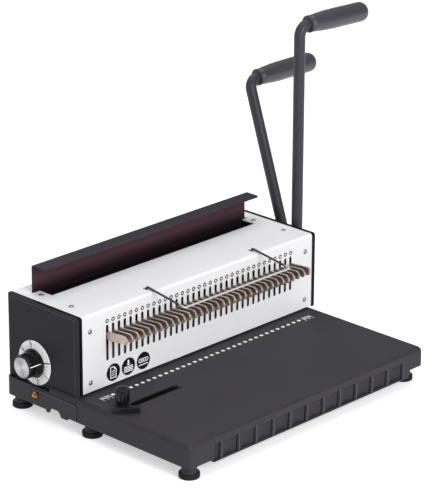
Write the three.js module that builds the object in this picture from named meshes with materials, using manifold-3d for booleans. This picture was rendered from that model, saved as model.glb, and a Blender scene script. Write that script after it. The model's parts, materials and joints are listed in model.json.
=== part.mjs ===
// A desktop wire and coil binding machine for A4 sheets: a lever punch with 34 round holes at three to the
// inch, a lever-driven press that closes the wire, a comb of hooks that holds the wire while sheets are hung
// on it, a dial that sets how far the holes lie from the sheet's edge, and a side guide on the table.
// Millimetres. X runs along the machine, Y to the rear and Z up. The sizes are worked out from the middle of
// the hole row (x = 0), the face of the front panel (y = 0) and the table's top (z = 0). The finished group
// is then moved so that its origin is the middle of the underside of its bounding box.

import * as THREE from "three";
import { mergeVertices } from "three/addons/utils/BufferGeometryUtils.js";
import Module from "manifold-3d";

const wasm = await Module();
wasm.setup();

// Shared sizes
const fit = 0.3;
const overrun = 1;
const sheet = 1.5;

// Row of punched holes: three to the inch, as many as fit between the side frames
const holePitch = 8.4667;
const rowMargin = 22;
const punchY = 24;

// Body: the white cover between two black end panels, as deep and high as its mechanism asks
const bodyHalfWidth = 180;
const bodyRearRoom = 17.4;
const bodyBend = 3;
const endLip = 5;
const throatHeight = 1.6;

// Table and base tray
const baseLeftReach = 5;
const baseRightInset = 4;
const baseFront = 164;
const baseInnerCorner = 0.5;
const baseEdge = 5.5;
const baseEdgeSteps = 3;
const basePlate = 3;
const baseWall = 3;
const baseWallDepth = 26;
const baseRightRise = 4.5;
const apronLeftInset = 36;
const apronRightInset = 24;
const apronDrop = 3.5;
const apronThickness = 7;
const apronBand = 9;
const fluteInset = 8.4;
const flutePitch = 25.55;
const fluteDepth = 4;
const cornerSteps = 4;
const fluteSides = 36;

// Feet, at three places along each side
const footHeight = 14;
const footRadius = 10.5;
const footRim = 6;
const footNeckRadius = 8;
const footInset = 11.5;
const footFrontInset = 11;
const footFrontRightInset = 19;
const footMiddleY = 12;
const footRearInset = 12;
const footBossRadius = 7;
const footSides = 16;

// Chip tray, a drawer under the dies
const trayWall = 1.5;
const trayHandleThickness = 3;
const trayFrontY = 0.4;
const trayRearY = 70.6;
const trayTopGap = 2.5;
const trayRimGap = 3;
const traySideClearance = 5;
const trayEndReach = 6.3;
const trayFloorRise = 1.7;
const trayLedge = 3.5;
const trayLipDepth = 2.6;
const trayLipFrontY = 14.7;
const trayLipWidth = 31.7;
const archInset = 18.7;
const archHalfWidth = 9.7;
const archHeight = 7.6;
const catchRadius = 3.2;
const catchLength = 4;
const catchInset = 8.6;
const catchZ = 13.9;

// Side frames, with flanges that the cover is screwed to
const frameInset = 15;
const frameThickness = 4;
const frameFrontY = 5;
const frameRearInset = 4;
const flangeReach = 8;
const flangeThickness = 2.7;
const flangeGap = 0.5;
const frontFlangeZ = 4;
const floorFlangeGap = 5.4;

// Dies and punch pins
const dieHalfDepth = 12;
const dieThickness = 6;
const guideThickness = 8;
const spacerReach = 8;
const pinRadius = 2;
const pinTipGap = 1;
const pinSides = 6;
const punchStroke = 10;
const pinStripEnd = 5.3;
const pinStripHalfWidth = 4;
const pinStripThickness = 3;
const strokeClearance = 0.6;
const beamEndGap = 9;
const beamHalfWidth = 8;
const beamHeight = 14.2;

// Tie bar between the frames
const tieFrontGap = 5.8;
const tieWidth = 8;
const tieHeight = 6;
const tieDrop = 1;

// Shafts, their bushes and their return springs
const shaftRadius = 8;
const shaftEndReach = 4.5;
const shaftSides = 20;
const hiddenSides = 16;
const bushWall = 3;
const bushFlange = 2.5;
const bushFlangeThickness = 2.4;
const springWire = 0.8;
const springPitch = 2.4;
const springTurns = 5;
const springSteps = 8;
const springSides = 4;
const springStart = 70;

// Punch lever and cams
const punchShaftSetback = 13;
const punchSweepAngle = 90;
const camBase = 12;
const camWidth = 12;
const camInset = 46;
const camSteps = 8;
const punchHubGap = 2.7;
const punchLeverTop = 266;
const punchLeanAngle = 0;
const punchDroopAngle = 1.8;

// Closing lever, pinions, racks and press plate
const closingHubGap = 17.2;
const closingLeverTop = 188;
const closingLeanAngle = 18.4;
const closingDroopAngle = 0;
const gearModule = 1.5;
const gearTeeth = 20;
const gearPressureAngle = 20;
const gearFlankSteps = 3;
const gearBacklash = 0.5;
const gearWidth = 4.6;
const gearEndGap = 10.2;
const gearSectorTeeth = 9;
const gearHubStep = 1.625;
const rackWidth = 4.6;
const rackShaftGap = 1.925;
const rackThickness = 3.2;
const rackLeg = 4;
const rackFoot = 6;
const rackFootGap = 1.5;
const pressStroke = 26.5;
const pressFloorGap = 3.5;
const pressScrewGap = 0.4;
const pressSheet = 2.5;
const pressInnerBend = 0.5;
const pressDepth = 19.2;
const pressEndGap = 3;
const pressWebEndGap = 6.5;
const pressLowerEndGap = 2.5;
const channelEndGap = 11.5;
const channelLead = 2.9;
const webClearance = 0.7;
const anvilGap = 5.5;
const anvilHeight = 6.5;
const anvilDrop = 5;
const anvilRackGap = 3.3;

// Lever bars, hubs and grips
const barRadius = 6;
const barSides = 12;
const barBend = 12;
const barBendSteps = 6;
const barSocketGap = 1.3;
const barInGrip = 60;
const barToGrip = 0.3;
const hubRing = 5;
const hubWall = 1.3;
const gripLength = 94;
const gripCollarRadius = 9.8;
const gripStartRadius = 9.2;
const gripMiddleRadius = 11;
const gripFullRadius = 11.4;
const gripCollar = 3;
const gripSides = 16;
const gripMiddleShare = 0.3;
const gripTipShare = 0.75;
const gripEndStations = 4;

// Comb of hooks, and how far it moves up and down in its slots
const combRise = 5;
const combDrop = 22;
const slotTopGap = 3.2;
const slotFootGap = 2;
const slotEndSteps = 2;
const hookThickness = 2.5;
const hookClearance = 0.4;
const hookReach = 29.5;
const hookRootLowZ = 54;
const hookRootHeight = 7.8;
const hookTipRise = 2.5;
const hookTipLift = 1;
const hookTipWidth = 8;
const carrierEndGap = 2;
const carrierThickness = 4;
const carrierBelow = 4;
const carrierAbove = 4.2;

// Wire bail
const bailLeftX = 71.7;
const bailRightX = 89;
const bailRadius = 1.2;
const bailPivotY = 11;
const bailClearance = 0.4;
const bailPlay = 0.5;
const bailRise = 2.9;
const bailSwingAngle = 45;
const bailReach = 56.5;
const bailFall = 8.2;
const bailCorner = 2;
const bailStub = 7;
const bailSides = 8;
const bailBendSteps = 3;

// Dial, its shaft and the depth stop
const dialY = 67.5;
const dialZ = 19.5;
const dialRadius = 24.5;
const dialThickness = 1;
const dialBoreGap = 1;
const dialTabMargin = 1;
const dialTabDrop = 0.2;
const knobSkirtRadius = 15.8;
const knobSkirt = 3;
const knobRadius = 13.4;
const knobFluteDepth = 0.8;
const knobFlutes = 16;
const knobLength = 16.8;
const knobRoof = 2.8;
const capRadius = 11.4;
const capThickness = 0.8;
const dialSides = 32;
const dialShaftRadius = 3;
const dialSweepAngle = 270;
const stopTravel = 4;
const stopCamBase = 7;
const stopCamWidth = 3.4;
const stopCamEndGap = 3;
const stopCamSteps = 16;
const stopLipReach = 8;
const stopBarGap = 0.6;
const stopBarWidth = 4;
const stopBarHeight = 8;
const stopEndGap = 18;
const stopArmLift = 2.3;
const stopArmRise = 6.5;

// Side guide on the table
const guideInset = 17.5;
const guideY = 51;
const guideSlotWidth = 8;
const guideSlotInset = 9;
const guideSlotLength = 89;
const guideStudRadius = 2.5;
const guideHeadLength = 14;
const guideHeadWidth = 12;
const guideHeadHeight = 3;
const guideArmLeft = 11;
const guideArmRight = 18;
const guideArmFront = 11.5;
const guideArmRear = 9;
const guideArmThickness = 5.6;
const guideArmAngle = -44;
const guideKnobRadius = 7.7;
const guideKnobFluteDepth = 0.9;
const guideKnobFlutes = 14;
const guideKnobHeight = 17;
const guideKnobRoof = 3;

// Screws of the cover
const screwHeadRadius = 2.6;
const screwHeadHeight = 1.1;
const screwRadius = 1.5;
const screwSides = 10;
const frontScrewInset = 1;
const frontScrewLowZ = 12;
const frontScrewDrop = 18.5;
const topScrewInset = 31;

// Along the machine: the frames stand inside the end panels, and the rest is set between them
const frameInner = bodyHalfWidth - frameInset;
const frameOuter = frameInner + frameThickness;
const coverHalfWidth = bodyHalfWidth - endLip - fit;
const holeCount = Math.floor((2 * (frameInner - rowMargin)) / holePitch) + 1;
const rowHalf = ((holeCount - 1) / 2) * holePitch;
const pinStripHalfLength = rowHalf + pinStripEnd;
const beamHalfLength = frameInner - beamEndGap;
const camPlace = beamHalfLength - camInset;
const shaftLeftEnd = frameOuter + shaftEndReach;
const gearPlace = frameInner - gearEndGap - gearWidth / 2;
const pressHalfLength = frameInner - pressEndGap;
const pressWebRight = frameInner - pressWebEndGap;
const pressLowerHalfLength = frameInner - pressLowerEndGap;
const channelHalfLength = frameInner - channelEndGap;
const carrierHalfLength = frameInner - carrierEndGap;
const stopHalfLength = frameInner - stopEndGap;
const stopCamOuter = frameInner - stopCamEndGap;
const hubWidth = 2 * (barRadius + hubWall);
const punchLeverX = bodyHalfWidth + punchHubGap + hubWidth / 2;
const closingLeverX = bodyHalfWidth + closingHubGap + hubWidth / 2;
const frontScrewX = frameInner - frontScrewInset;
const topScrewX = frameInner - flangeReach / 2;
const baseLeft = bodyHalfWidth + baseLeftReach;
const baseRight = bodyHalfWidth - baseRightInset;
const apronLeft = baseLeft - apronLeftInset;
const apronRight = baseRight - apronRightInset;
const fluteLast = apronRight - fluteInset;
const fluteCount = Math.ceil((fluteLast + apronLeft) / flutePitch);
const trayRight = rowHalf + trayEndReach;
const guideX = baseLeft - guideInset;
const guideSlotLeft = baseLeft - guideSlotInset;
const guideSlotRight = guideSlotLeft - guideSlotLength;

// From front to rear: dies, punch shaft, racks, closing shaft, press plate, rear of the body
const gearRadius = (gearModule * gearTeeth) / 2;
const gearTip = gearRadius + gearModule;
const gearRoot = gearRadius - gearModule - gearModule / 4;
const gearHubRadius = gearRoot - gearHubStep;
const dieFrontY = punchY - dieHalfDepth;
const dieRearY = punchY + dieHalfDepth;
const punchShaftY = punchY + punchShaftSetback;
const rackFrontY = punchShaftY + shaftRadius + rackShaftGap;
const rackRootY = rackFrontY + rackThickness;
const rackPitchY = rackRootY + gearRadius - gearRoot;
const closingShaftY = rackPitchY + gearRadius;
const rackLegY = closingShaftY + gearTip + fit;
const pressFrontY = rackLegY + rackLeg + fit;
const pressRearY = pressFrontY + pressSheet;
const pressBend = pressSheet + pressInnerBend;
const bodyDepth = pressRearY + bodyRearRoom;
const baseRear = bodyDepth;
const baseCorner = baseEdge + baseInnerCorner;
const channelFrontY = pressRearY - pressDepth - channelLead;
const anvilEndRearY = rackLegY - anvilRackGap;
const frameRearY = bodyDepth - frameRearInset;
const frontFlangeY = sheet + flangeGap;
const carrierFrontY = frontFlangeY + flangeThickness + fit;
const tieFrontY = bailPivotY + bailRadius + tieFrontGap;
const tieRearY = tieFrontY + tieWidth;
const stopLipY = punchY + stopLipReach;
const stopBarY = dieRearY + stopTravel + stopBarGap;
const floorFlangeY = stopBarY + stopBarWidth + floorFlangeGap;
const topScrewFrontY = topScrewInset;
const topScrewRearY = bodyDepth - topScrewInset;
const trayLipRearY = trayLipFrontY + trayLipWidth;
const archY = trayLipFrontY + archInset;
const catchY = trayRearY - catchInset;
const dialTabFrontY = dialY - dialRadius - dialTabMargin;

// Upwards: dies, pins, beam and cams; racks, pinions and anvil; the top of the body and the press plate
const guideTopZ = throatHeight + guideThickness;
const pinTipZ = throatHeight + pinTipGap;
const pinStripLowZ = guideTopZ + punchStroke + strokeClearance;
const pinStripTopZ = pinStripLowZ + pinStripThickness;
const beamLowZ = pinStripTopZ + fit;
const beamTopZ = beamLowZ + beamHeight;
const punchShaftZ = beamTopZ + fit + camBase;
const pressBottomZ = pressStroke + pressFloorGap;
const closingShaftZ = pressBottomZ + rackFoot + rackFootGap + gearTip;
const anvilLowZ = closingShaftZ + gearTip + anvilGap;
const anvilTopZ = anvilLowZ + anvilHeight;
const bodyHeight = anvilTopZ + anvilDrop;
const rackPitch = Math.PI * gearModule;
const rackTeeth = Math.floor((bodyHeight - sheet - fit - closingShaftZ) / rackPitch + 1 / 2);
const frameTop = bodyHeight - sheet - fit - flangeThickness;
const pressTopZ = bodyHeight + screwHeadHeight + pressScrewGap + pressStroke + pressSheet;
const tieBottomZ = frameTop - tieDrop - tieHeight;
const frontScrewHighZ = bodyHeight - frontScrewDrop;
const hookRootHighZ = hookRootLowZ + hookRootHeight;
const hookTipHighZ = hookRootHighZ + hookTipRise;
const hookTipLowZ = hookRootLowZ + hookTipLift;
const slotHighZ = hookRootHighZ + combRise + slotTopGap;
const slotLowZ = hookRootLowZ - combDrop - slotFootGap;
const carrierLowZ = hookRootLowZ - carrierBelow;
const carrierHighZ = hookRootHighZ + carrierAbove;
const stopLipThickness = throatHeight - 2 * fit;
const stopArmLowZ = flangeThickness + stopArmLift;
const stopArmHighZ = dialZ + stopArmRise;
const guideStudTop = fit + guideArmThickness + guideKnobHeight - guideKnobRoof;
const dialTabDepth = dialRadius - dialZ + dialTabDrop;
const trayTop = Math.max(dialTabDepth, basePlate) + trayTopGap;
const trayRim = Math.max(dialTabDepth, dieThickness) + trayRimGap;
const trayFloor = baseWallDepth - trayFloorRise;
const baseRightDepth = baseWallDepth - baseRightRise;
const apronDepth = baseWallDepth + apronDrop;
const groundZ = -baseWallDepth - footHeight;

// Widths and radii that clear what runs in them
const bushRadius = shaftRadius + bushWall;
const bushFlangeRadius = bushRadius + bushFlange;
const barSocket = shaftRadius + barSocketGap;
const hubRadius = shaftRadius + hubRing;
const springCoilRadius = (shaftRadius + springWire + fit) / Math.cos(Math.PI / springSteps);
const slotWidth = hookThickness + 2 * hookClearance;
const bailPivotDrop = bailRadius + bailClearance;
const bailSlotWidth = 2 * (bailRadius + bailPlay);
const dialBore = dialShaftRadius + dialBoreGap;
const dialShaftBlind = knobLength - knobRoof;

// Materials
const finish = {
  blackPaint: new THREE.MeshStandardMaterial({ color: 0x3a393f, roughness: 0.6, metalness: 0.1 }),
  tablePlastic: new THREE.MeshStandardMaterial({ color: 0x46454b, roughness: 0.7, metalness: 0 }),
  whitePaint: new THREE.MeshStandardMaterial({ color: 0xe6e6e8, roughness: 0.45, metalness: 0 }),
  pressPaint: new THREE.MeshStandardMaterial({ color: 0x2b2426, roughness: 0.35, metalness: 0.2 }),
  hookSteel: new THREE.MeshStandardMaterial({ color: 0xb9a793, roughness: 0.45, metalness: 0.5 }),
  steel: new THREE.MeshStandardMaterial({ color: 0xa9abae, roughness: 0.35, metalness: 0.9 }),
  zinc: new THREE.MeshStandardMaterial({ color: 0x8f9194, roughness: 0.5, metalness: 0.7 }),
  bronze: new THREE.MeshStandardMaterial({ color: 0xa8743c, roughness: 0.4, metalness: 0.8 }),
  brass: new THREE.MeshStandardMaterial({ color: 0xc58b3c, roughness: 0.3, metalness: 0.9 }),
  rubber: new THREE.MeshStandardMaterial({ color: 0x1c1c1e, roughness: 0.85, metalness: 0 }),
  gripPlastic: new THREE.MeshStandardMaterial({ color: 0x35343a, roughness: 0.4, metalness: 0 }),
  knobPlastic: new THREE.MeshStandardMaterial({ color: 0x151517, roughness: 0.25, metalness: 0 }),
  dialWhite: new THREE.MeshStandardMaterial({ color: 0xf2f2f2, roughness: 0.4, metalness: 0 }),
  capAluminium: new THREE.MeshStandardMaterial({ color: 0xd9dadb, roughness: 0.3, metalness: 0.9 }),
  springSteel: new THREE.MeshStandardMaterial({ color: 0x77797c, roughness: 0.4, metalness: 0.9 }),
};

// Geometry helpers

// A closed three.js geometry as a solid that can be joined and cut.
function solid(geometry) {
  const bare = geometry.clone();
  bare.deleteAttribute("normal");
  bare.deleteAttribute("uv");
  const merged = mergeVertices(bare);
  const mesh = new wasm.Mesh({
    numProp: 3,
    vertProperties: new Float32Array(merged.attributes.position.array),
    triVerts: new Uint32Array(merged.index.array),
  });
  return new wasm.Manifold(mesh);
}

const joined = (first, ...rest) => rest.reduce((whole, piece) => whole.add(piece), first);
const cut = (first, ...rest) => rest.reduce((whole, piece) => whole.subtract(piece), first);

// A named mesh from a solid.
function piece(name, body, material) {
  const made = body.getMesh();
  const geometry = new THREE.BufferGeometry();
  geometry.setAttribute("position", new THREE.BufferAttribute(made.vertProperties, 3));
  geometry.setIndex(new THREE.BufferAttribute(made.triVerts, 1));
  geometry.computeVertexNormals();
  const mesh = new THREE.Mesh(geometry, material);
  mesh.name = name;
  return mesh;
}

// A box between two corners.
function block(x0, x1, y0, y1, z0, z1) {
  const geometry = new THREE.BoxGeometry(Math.abs(x1 - x0), y1 - y0, z1 - z0);
  geometry.translate((x0 + x1) / 2, (y0 + y1) / 2, (z0 + z1) / 2);
  return solid(geometry);
}

// An outline of [u, v] points, extruded between two places on an axis.
function prism(outline, from, to, basis) {
  const shape = new THREE.Shape(outline.map(([u, v]) => new THREE.Vector2(u, v)));
  const low = Math.min(from, to);
  const geometry = new THREE.ExtrudeGeometry(shape, { depth: Math.abs(to - from), bevelEnabled: false });
  geometry.translate(0, 0, low);
  geometry.applyMatrix4(basis);
  return solid(geometry);
}

const axisX = new THREE.Vector3(1, 0, 0);
const axisY = new THREE.Vector3(0, 1, 0);
const axisZ = new THREE.Vector3(0, 0, 1);
const alongX = new THREE.Matrix4().makeBasis(axisY, axisZ, axisX);
const alongY = new THREE.Matrix4().makeBasis(axisZ, axisX, axisY);
const alongZ = new THREE.Matrix4();

// Outlines are [y, z] in prismX, [z, x] in prismY and [x, y] in prismZ.
const prismX = (outline, x0, x1) => prism(outline, x0, x1, alongX);
const prismY = (outline, y0, y1) => prism(outline, y0, y1, alongY);
const prismZ = (outline, z0, z1) => prism(outline, z0, z1, alongZ);

// Points of an arc, from one angle to another in degrees.
function arc(u, v, radius, fromDegrees, toDegrees, steps) {
  return Array.from({ length: steps + 1 }, (_, i) => {
    const angle = THREE.MathUtils.degToRad(fromDegrees + ((toDegrees - fromDegrees) * i) / steps);
    return [u + radius * Math.cos(angle), v + radius * Math.sin(angle)];
  });
}

const circle = (u, v, radius, sides) => arc(u, v, radius, 0, 360, sides).slice(0, sides);

// The radius of a many-sided hole whose flats clear a shaft of the given radius.
const clearing = (radius, gap, sides) => (radius + gap) / Math.cos(Math.PI / sides);

const rodX = (radius, x0, x1, y, z, sides) => prismX(circle(y, z, radius, sides), x0, x1);
const rodY = (radius, y0, y1, x, z, sides) => prismY(circle(z, x, radius, sides), y0, y1);
const rodZ = (radius, z0, z1, x, y, sides) => prismZ(circle(x, y, radius, sides), z0, z1);

// A rectangle with rounded corners.
function roundedRectangle(u0, u1, v0, v1, radius, steps) {
  return [
    ...arc(u1 - radius, v1 - radius, radius, 0, 90, steps),
    ...arc(u0 + radius, v1 - radius, radius, 90, 180, steps),
    ...arc(u0 + radius, v0 + radius, radius, 180, 270, steps),
    ...arc(u1 - radius, v0 + radius, radius, 270, 360, steps),
  ];
}

// A polyline of stations that a section is swept along, one step from station to station.
class StationPath extends THREE.Curve {
  constructor(stations) {
    super();
    this.stations = stations;
  }
  getPoint(t) {
    const last = this.stations.length - 1;
    const place = Math.min(t * last, last);
    const index = Math.min(Math.floor(place), last - 1);
    return this.stations[index].clone().lerp(this.stations[index + 1], place - index);
  }
  getPointAt(u) {
    return this.getPoint(u);
  }
  getTangentAt(u) {
    const last = this.stations.length - 1;
    const index = Math.round(u * last);
    const before = this.stations[Math.max(index - 1, 0)];
    const here = this.stations[index];
    const after = this.stations[Math.min(index + 1, last)];
    const back = here.clone().sub(before).normalize();
    const forward = after.clone().sub(here).normalize();
    return back.add(forward).normalize();
  }
}

// A round bar or wire of constant radius along stations.
function sweep(stations, radius, sides) {
  const section = new THREE.Shape(circle(0, 0, radius, sides).map(([u, v]) => new THREE.Vector2(u, v)));
  const path = new StationPath(stations);
  const options = { steps: stations.length - 1, extrudePath: path, bevelEnabled: false };
  return solid(new THREE.ExtrudeGeometry(section, options));
}

// Stations of a route whose corners are rounded: points with a bend radius at each inner one.
function route(points, radius, steps) {
  const stations = [points[0]];
  for (let i = 1; i < points.length - 1; i += 1) {
    const here = points[i];
    const into = here.clone().sub(points[i - 1]).normalize();
    const out = points[i + 1].clone().sub(here).normalize();
    const half = into.angleTo(out) / 2;
    const tangent = radius * Math.tan(half);
    const start = here.clone().addScaledVector(into, -tangent);
    const axis = into.clone().cross(out).normalize();
    const centre = start.clone().addScaledVector(axis.clone().cross(into), radius);
    for (let k = 0; k <= steps; k += 1) {
      const arm = start.clone().sub(centre);
      stations.push(arm.applyAxisAngle(axis, (2 * half * k) / steps).add(centre));
    }
  }
  stations.push(points[points.length - 1]);
  return stations;
}

// A flat-follower cam whose lift grows evenly with its turn, so its outline is an involute. The follower
// stands at facing degrees in the YZ plane; the lift per radian is rate.
function camOutline(base, rate, sweepDegrees, facing, steps) {
  const points = [[0, 0]];
  for (let i = 0; i <= steps; i += 1) {
    const turn = THREE.MathUtils.degToRad((sweepDegrees * i) / steps);
    const angle = THREE.MathUtils.degToRad(facing) - turn;
    const reach = base + rate * turn;
    points.push([
      reach * Math.cos(angle) + rate * Math.sin(angle),
      reach * Math.sin(angle) - rate * Math.cos(angle),
    ]);
  }
  return points;
}

// A solid of revolution about the X axis from [x, radius] points.
function turnedX(profile, sides) {
  const geometry = new THREE.LatheGeometry(
    profile.map(([x, radius]) => new THREE.Vector2(radius, x)),
    sides,
  );
  geometry.applyMatrix4(new THREE.Matrix4().makeBasis(axisY, axisX, axisZ.clone().negate()));
  return solid(geometry);
}

// A fluted round outline.
function fluted(radius, depth, flutes) {
  return Array.from({ length: flutes * 2 }, (_, i) => {
    const angle = (Math.PI * i) / flutes;
    const reach = i % 2 === 0 ? radius - depth : radius;
    return [reach * Math.cos(angle), reach * Math.sin(angle)];
  });
}

const sideName = (side) => (side < 0 ? "left" : "right");
const holePlaces = Array.from({ length: holeCount }, (_, i) => (i - (holeCount - 1) / 2) * holePitch);

// Base tray with the table, its fluted apron, the bosses for the feet and the ledges for the chip tray

const footPlaces = [-1, 1].flatMap((side) =>
  [
    ["front", -baseFront + (side < 0 ? footFrontInset : footFrontRightInset)],
    ["middle", -footMiddleY],
    ["rear", baseRear - footRearInset],
  ].map(([row, y]) => ({
    name: `foot_${row}_${sideName(side)}`,
    x: side < 0 ? -baseLeft + footInset : baseRight - footInset,
    y,
  })),
);

function apronFlutes() {
  const radius = ((flutePitch / 2) ** 2 + fluteDepth ** 2) / (2 * fluteDepth);
  const centreY = -baseFront - radius + fluteDepth;
  const cutters = Array.from({ length: fluteCount }, (_, i) => {
    const x = fluteLast - (i + 1 / 2) * flutePitch;
    return rodZ(radius, -apronDepth - overrun, -apronBand, x, centreY, fluteSides);
  });
  const reach = block(
    -apronLeft,
    fluteLast,
    -baseFront - radius,
    -baseFront + apronThickness,
    -apronDepth - 2 * overrun,
    0,
  );
  return joined(...cutters).intersect(reach);
}

function guideSlot() {
  const half = guideSlotWidth / 2;
  const outline = [
    ...arc(-guideSlotRight - half, -guideY, half, -90, 90, slotEndSteps + 1),
    ...arc(-guideSlotLeft + half, -guideY, half, 90, 270, slotEndSteps + 1),
  ];
  return prismZ(outline, -basePlate - overrun, overrun);
}

// The tray's outer form: an upright block with a round top edge, and shallower past the apron's right end.
function baseBody() {
  const outline = roundedRectangle(
    -baseLeft + baseEdge,
    baseRight - baseEdge,
    -baseFront + baseEdge,
    baseRear - baseEdge,
    baseCorner - baseEdge,
    cornerSteps,
  );
  const shape = new THREE.Shape(outline.map(([x, y]) => new THREE.Vector2(x, y)));
  const geometry = new THREE.ExtrudeGeometry(shape, {
    depth: baseWallDepth,
    bevelThickness: baseEdge,
    bevelSize: baseEdge,
    bevelSegments: baseEdgeSteps,
  });
  geometry.translate(0, 0, -baseWallDepth - baseEdge);
  const left = block(-baseLeft, apronRight, -baseFront, baseRear, -baseWallDepth, overrun);
  const right = block(apronRight - overrun, baseRight, -baseFront, baseRear, -baseRightDepth, overrun);
  return solid(geometry).intersect(joined(left, right));
}

function baseTray() {
  const outer = baseBody();
  const cavity = block(
    -baseLeft + baseWall,
    baseRight - baseWall,
    -baseFront + apronThickness,
    baseRear - baseWall,
    -baseWallDepth - overrun,
    -basePlate,
  );
  const apron = block(
    -apronLeft,
    apronRight,
    -baseFront,
    -baseFront + apronThickness,
    -apronDepth,
    -basePlate,
  );
  const bosses = footPlaces.map(({ x, y }) =>
    rodZ(footBossRadius, -baseWallDepth, -basePlate + overrun, x, y, footSides),
  );
  const ledges = [trayFrontY + fit, trayRearY - fit - trayLedge].map((y) =>
    block(
      -baseLeft + baseWall - overrun,
      trayRight + trayLedge,
      y,
      y + trayLedge,
      -baseWallDepth + fit,
      -basePlate + overrun,
    ),
  );
  const ledgeLips = [trayFrontY + fit, trayRearY - fit - 2 * trayLedge].map((y) =>
    block(
      -baseLeft + baseWall,
      trayRight + trayLedge,
      y,
      y + 2 * trayLedge,
      -baseWallDepth + fit,
      -trayFloor - fit,
    ),
  );
  const bay = block(
    -baseLeft - overrun,
    -baseLeft + baseWall + overrun,
    0,
    trayRearY + trayFrontY,
    -baseWallDepth - overrun,
    -trayTop + fit,
  );
  const dialNotch = block(
    -baseLeft - overrun,
    -bodyHalfWidth + sheet + fit,
    dialTabFrontY - fit,
    baseRear + overrun,
    -dialTabDepth - fit,
    overrun,
  );
  const dieWell = block(
    -frameInner,
    frameInner,
    dieFrontY - fit,
    dieRearY + fit,
    -basePlate - overrun,
    overrun,
  );
  const shell = cut(joined(cut(outer, cavity), apron, ...bosses, ...ledges, ...ledgeLips), apronFlutes());
  return cut(shell, bay, dialNotch, dieWell, guideSlot());
}

function foot(x, y) {
  const rim = rodZ(footRadius, groundZ, groundZ + footRim, x, y, footSides);
  const neck = rodZ(footNeckRadius, groundZ + footRim - overrun, -baseWallDepth - fit, x, y, footSides);
  return joined(rim, neck);
}

// Chip tray: an open drawer with an end plate that has an arched finger notch

function chipTray() {
  const frontY = trayFrontY + traySideClearance;
  const rearY = trayRearY - traySideClearance;
  const inside = -baseLeft + trayHandleThickness;
  const box = block(inside - overrun, trayRight, frontY, rearY, -trayFloor, -trayRim);
  const hollow = block(
    inside + trayWall,
    trayRight - trayWall,
    frontY + trayWall,
    rearY - trayWall,
    -trayFloor + trayWall,
    -trayRim + overrun,
  );
  const plate = block(-baseLeft, inside, trayFrontY, trayRearY, -baseWallDepth, -trayTop);
  const lipZ = -baseWallDepth - trayLipDepth;
  const lip = block(-baseLeft, inside, trayLipFrontY, trayLipRearY, lipZ, -trayTop - overrun);
  const archRadius = (archHalfWidth ** 2 + archHeight ** 2) / (2 * archHeight);
  const archZ = lipZ + archHeight - archRadius;
  const arch = rodX(archRadius, -baseLeft - overrun, inside, archY, archZ, fluteSides);
  return cut(joined(box, plate, lip), hollow, arch);
}

function trayCatch() {
  return rodX(catchRadius, -baseLeft - catchLength, -baseLeft - fit, catchY, -catchZ, barSides);
}

// Side frames: plates that carry the shafts, with flanges for the cover's screws

function sideFrame(side) {
  const inner = side * frameInner;
  const tip = side * (frameInner - flangeReach);
  const root = side * (frameInner + overrun);
  const plate = block(inner, side * frameOuter, frameFrontY, frameRearY, fit, frameTop + flangeThickness);
  const front = block(
    tip,
    root,
    frontFlangeY,
    frontFlangeY + flangeThickness,
    frontFlangeZ,
    frameTop,
  );
  const corner = block(
    inner,
    side * frameOuter,
    frontFlangeY,
    frameFrontY + overrun,
    frontFlangeZ,
    frameTop,
  );
  const top = block(tip, root, frameFrontY, frameRearY, frameTop, frameTop + flangeThickness);
  const floor = block(tip, root, floorFlangeY, frameRearY, fit, flangeThickness);
  const holes = [
    [punchShaftY, punchShaftZ, bushRadius],
    [closingShaftY, closingShaftZ, bushRadius],
    ...(side < 0 ? [[dialY, dialZ, dialShaftRadius]] : []),
  ].map(([y, z, radius]) =>
    rodX(
      clearing(radius, fit, shaftSides),
      side * (frameInner - overrun),
      side * (frameOuter + overrun),
      y,
      z,
      shaftSides,
    ),
  );
  const pressNotch = block(
    side * (frameInner - flangeReach - overrun),
    side * frameInner,
    pressFrontY - fit,
    pressRearY + fit,
    frameTop - overrun,
    bodyHeight,
  );
  return cut(joined(plate, corner, front, top, floor), pressNotch, ...holes);
}

function tieBar() {
  const half = frameInner - fit;
  return block(-half, half, tieFrontY, tieRearY, tieBottomZ, tieBottomZ + tieHeight);
}

// White cover: one bent sheet that is the front panel and the top

const frontScrewPlaces = [-1, 1].flatMap((side) => [
  { name: `cover_screw_front_lower_${sideName(side)}`, x: side * frontScrewX, z: frontScrewLowZ },
  { name: `cover_screw_front_upper_${sideName(side)}`, x: side * frontScrewX, z: frontScrewHighZ },
]);
const topScrewPlaces = [-1, 1].flatMap((side) => [
  { name: `cover_screw_top_front_${sideName(side)}`, x: side * topScrewX, y: topScrewFrontY },
  { name: `cover_screw_top_rear_${sideName(side)}`, x: side * topScrewX, y: topScrewRearY },
]);

function coverSlots() {
  const half = slotWidth / 2;
  return holePlaces.map((x) =>
    prismY(
      [
        ...arc(slotHighZ - half, x, half, -90, 90, slotEndSteps),
        ...arc(slotLowZ + half, x, half, 90, 270, slotEndSteps),
      ],
      -overrun,
      sheet + overrun,
    ),
  );
}

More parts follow.
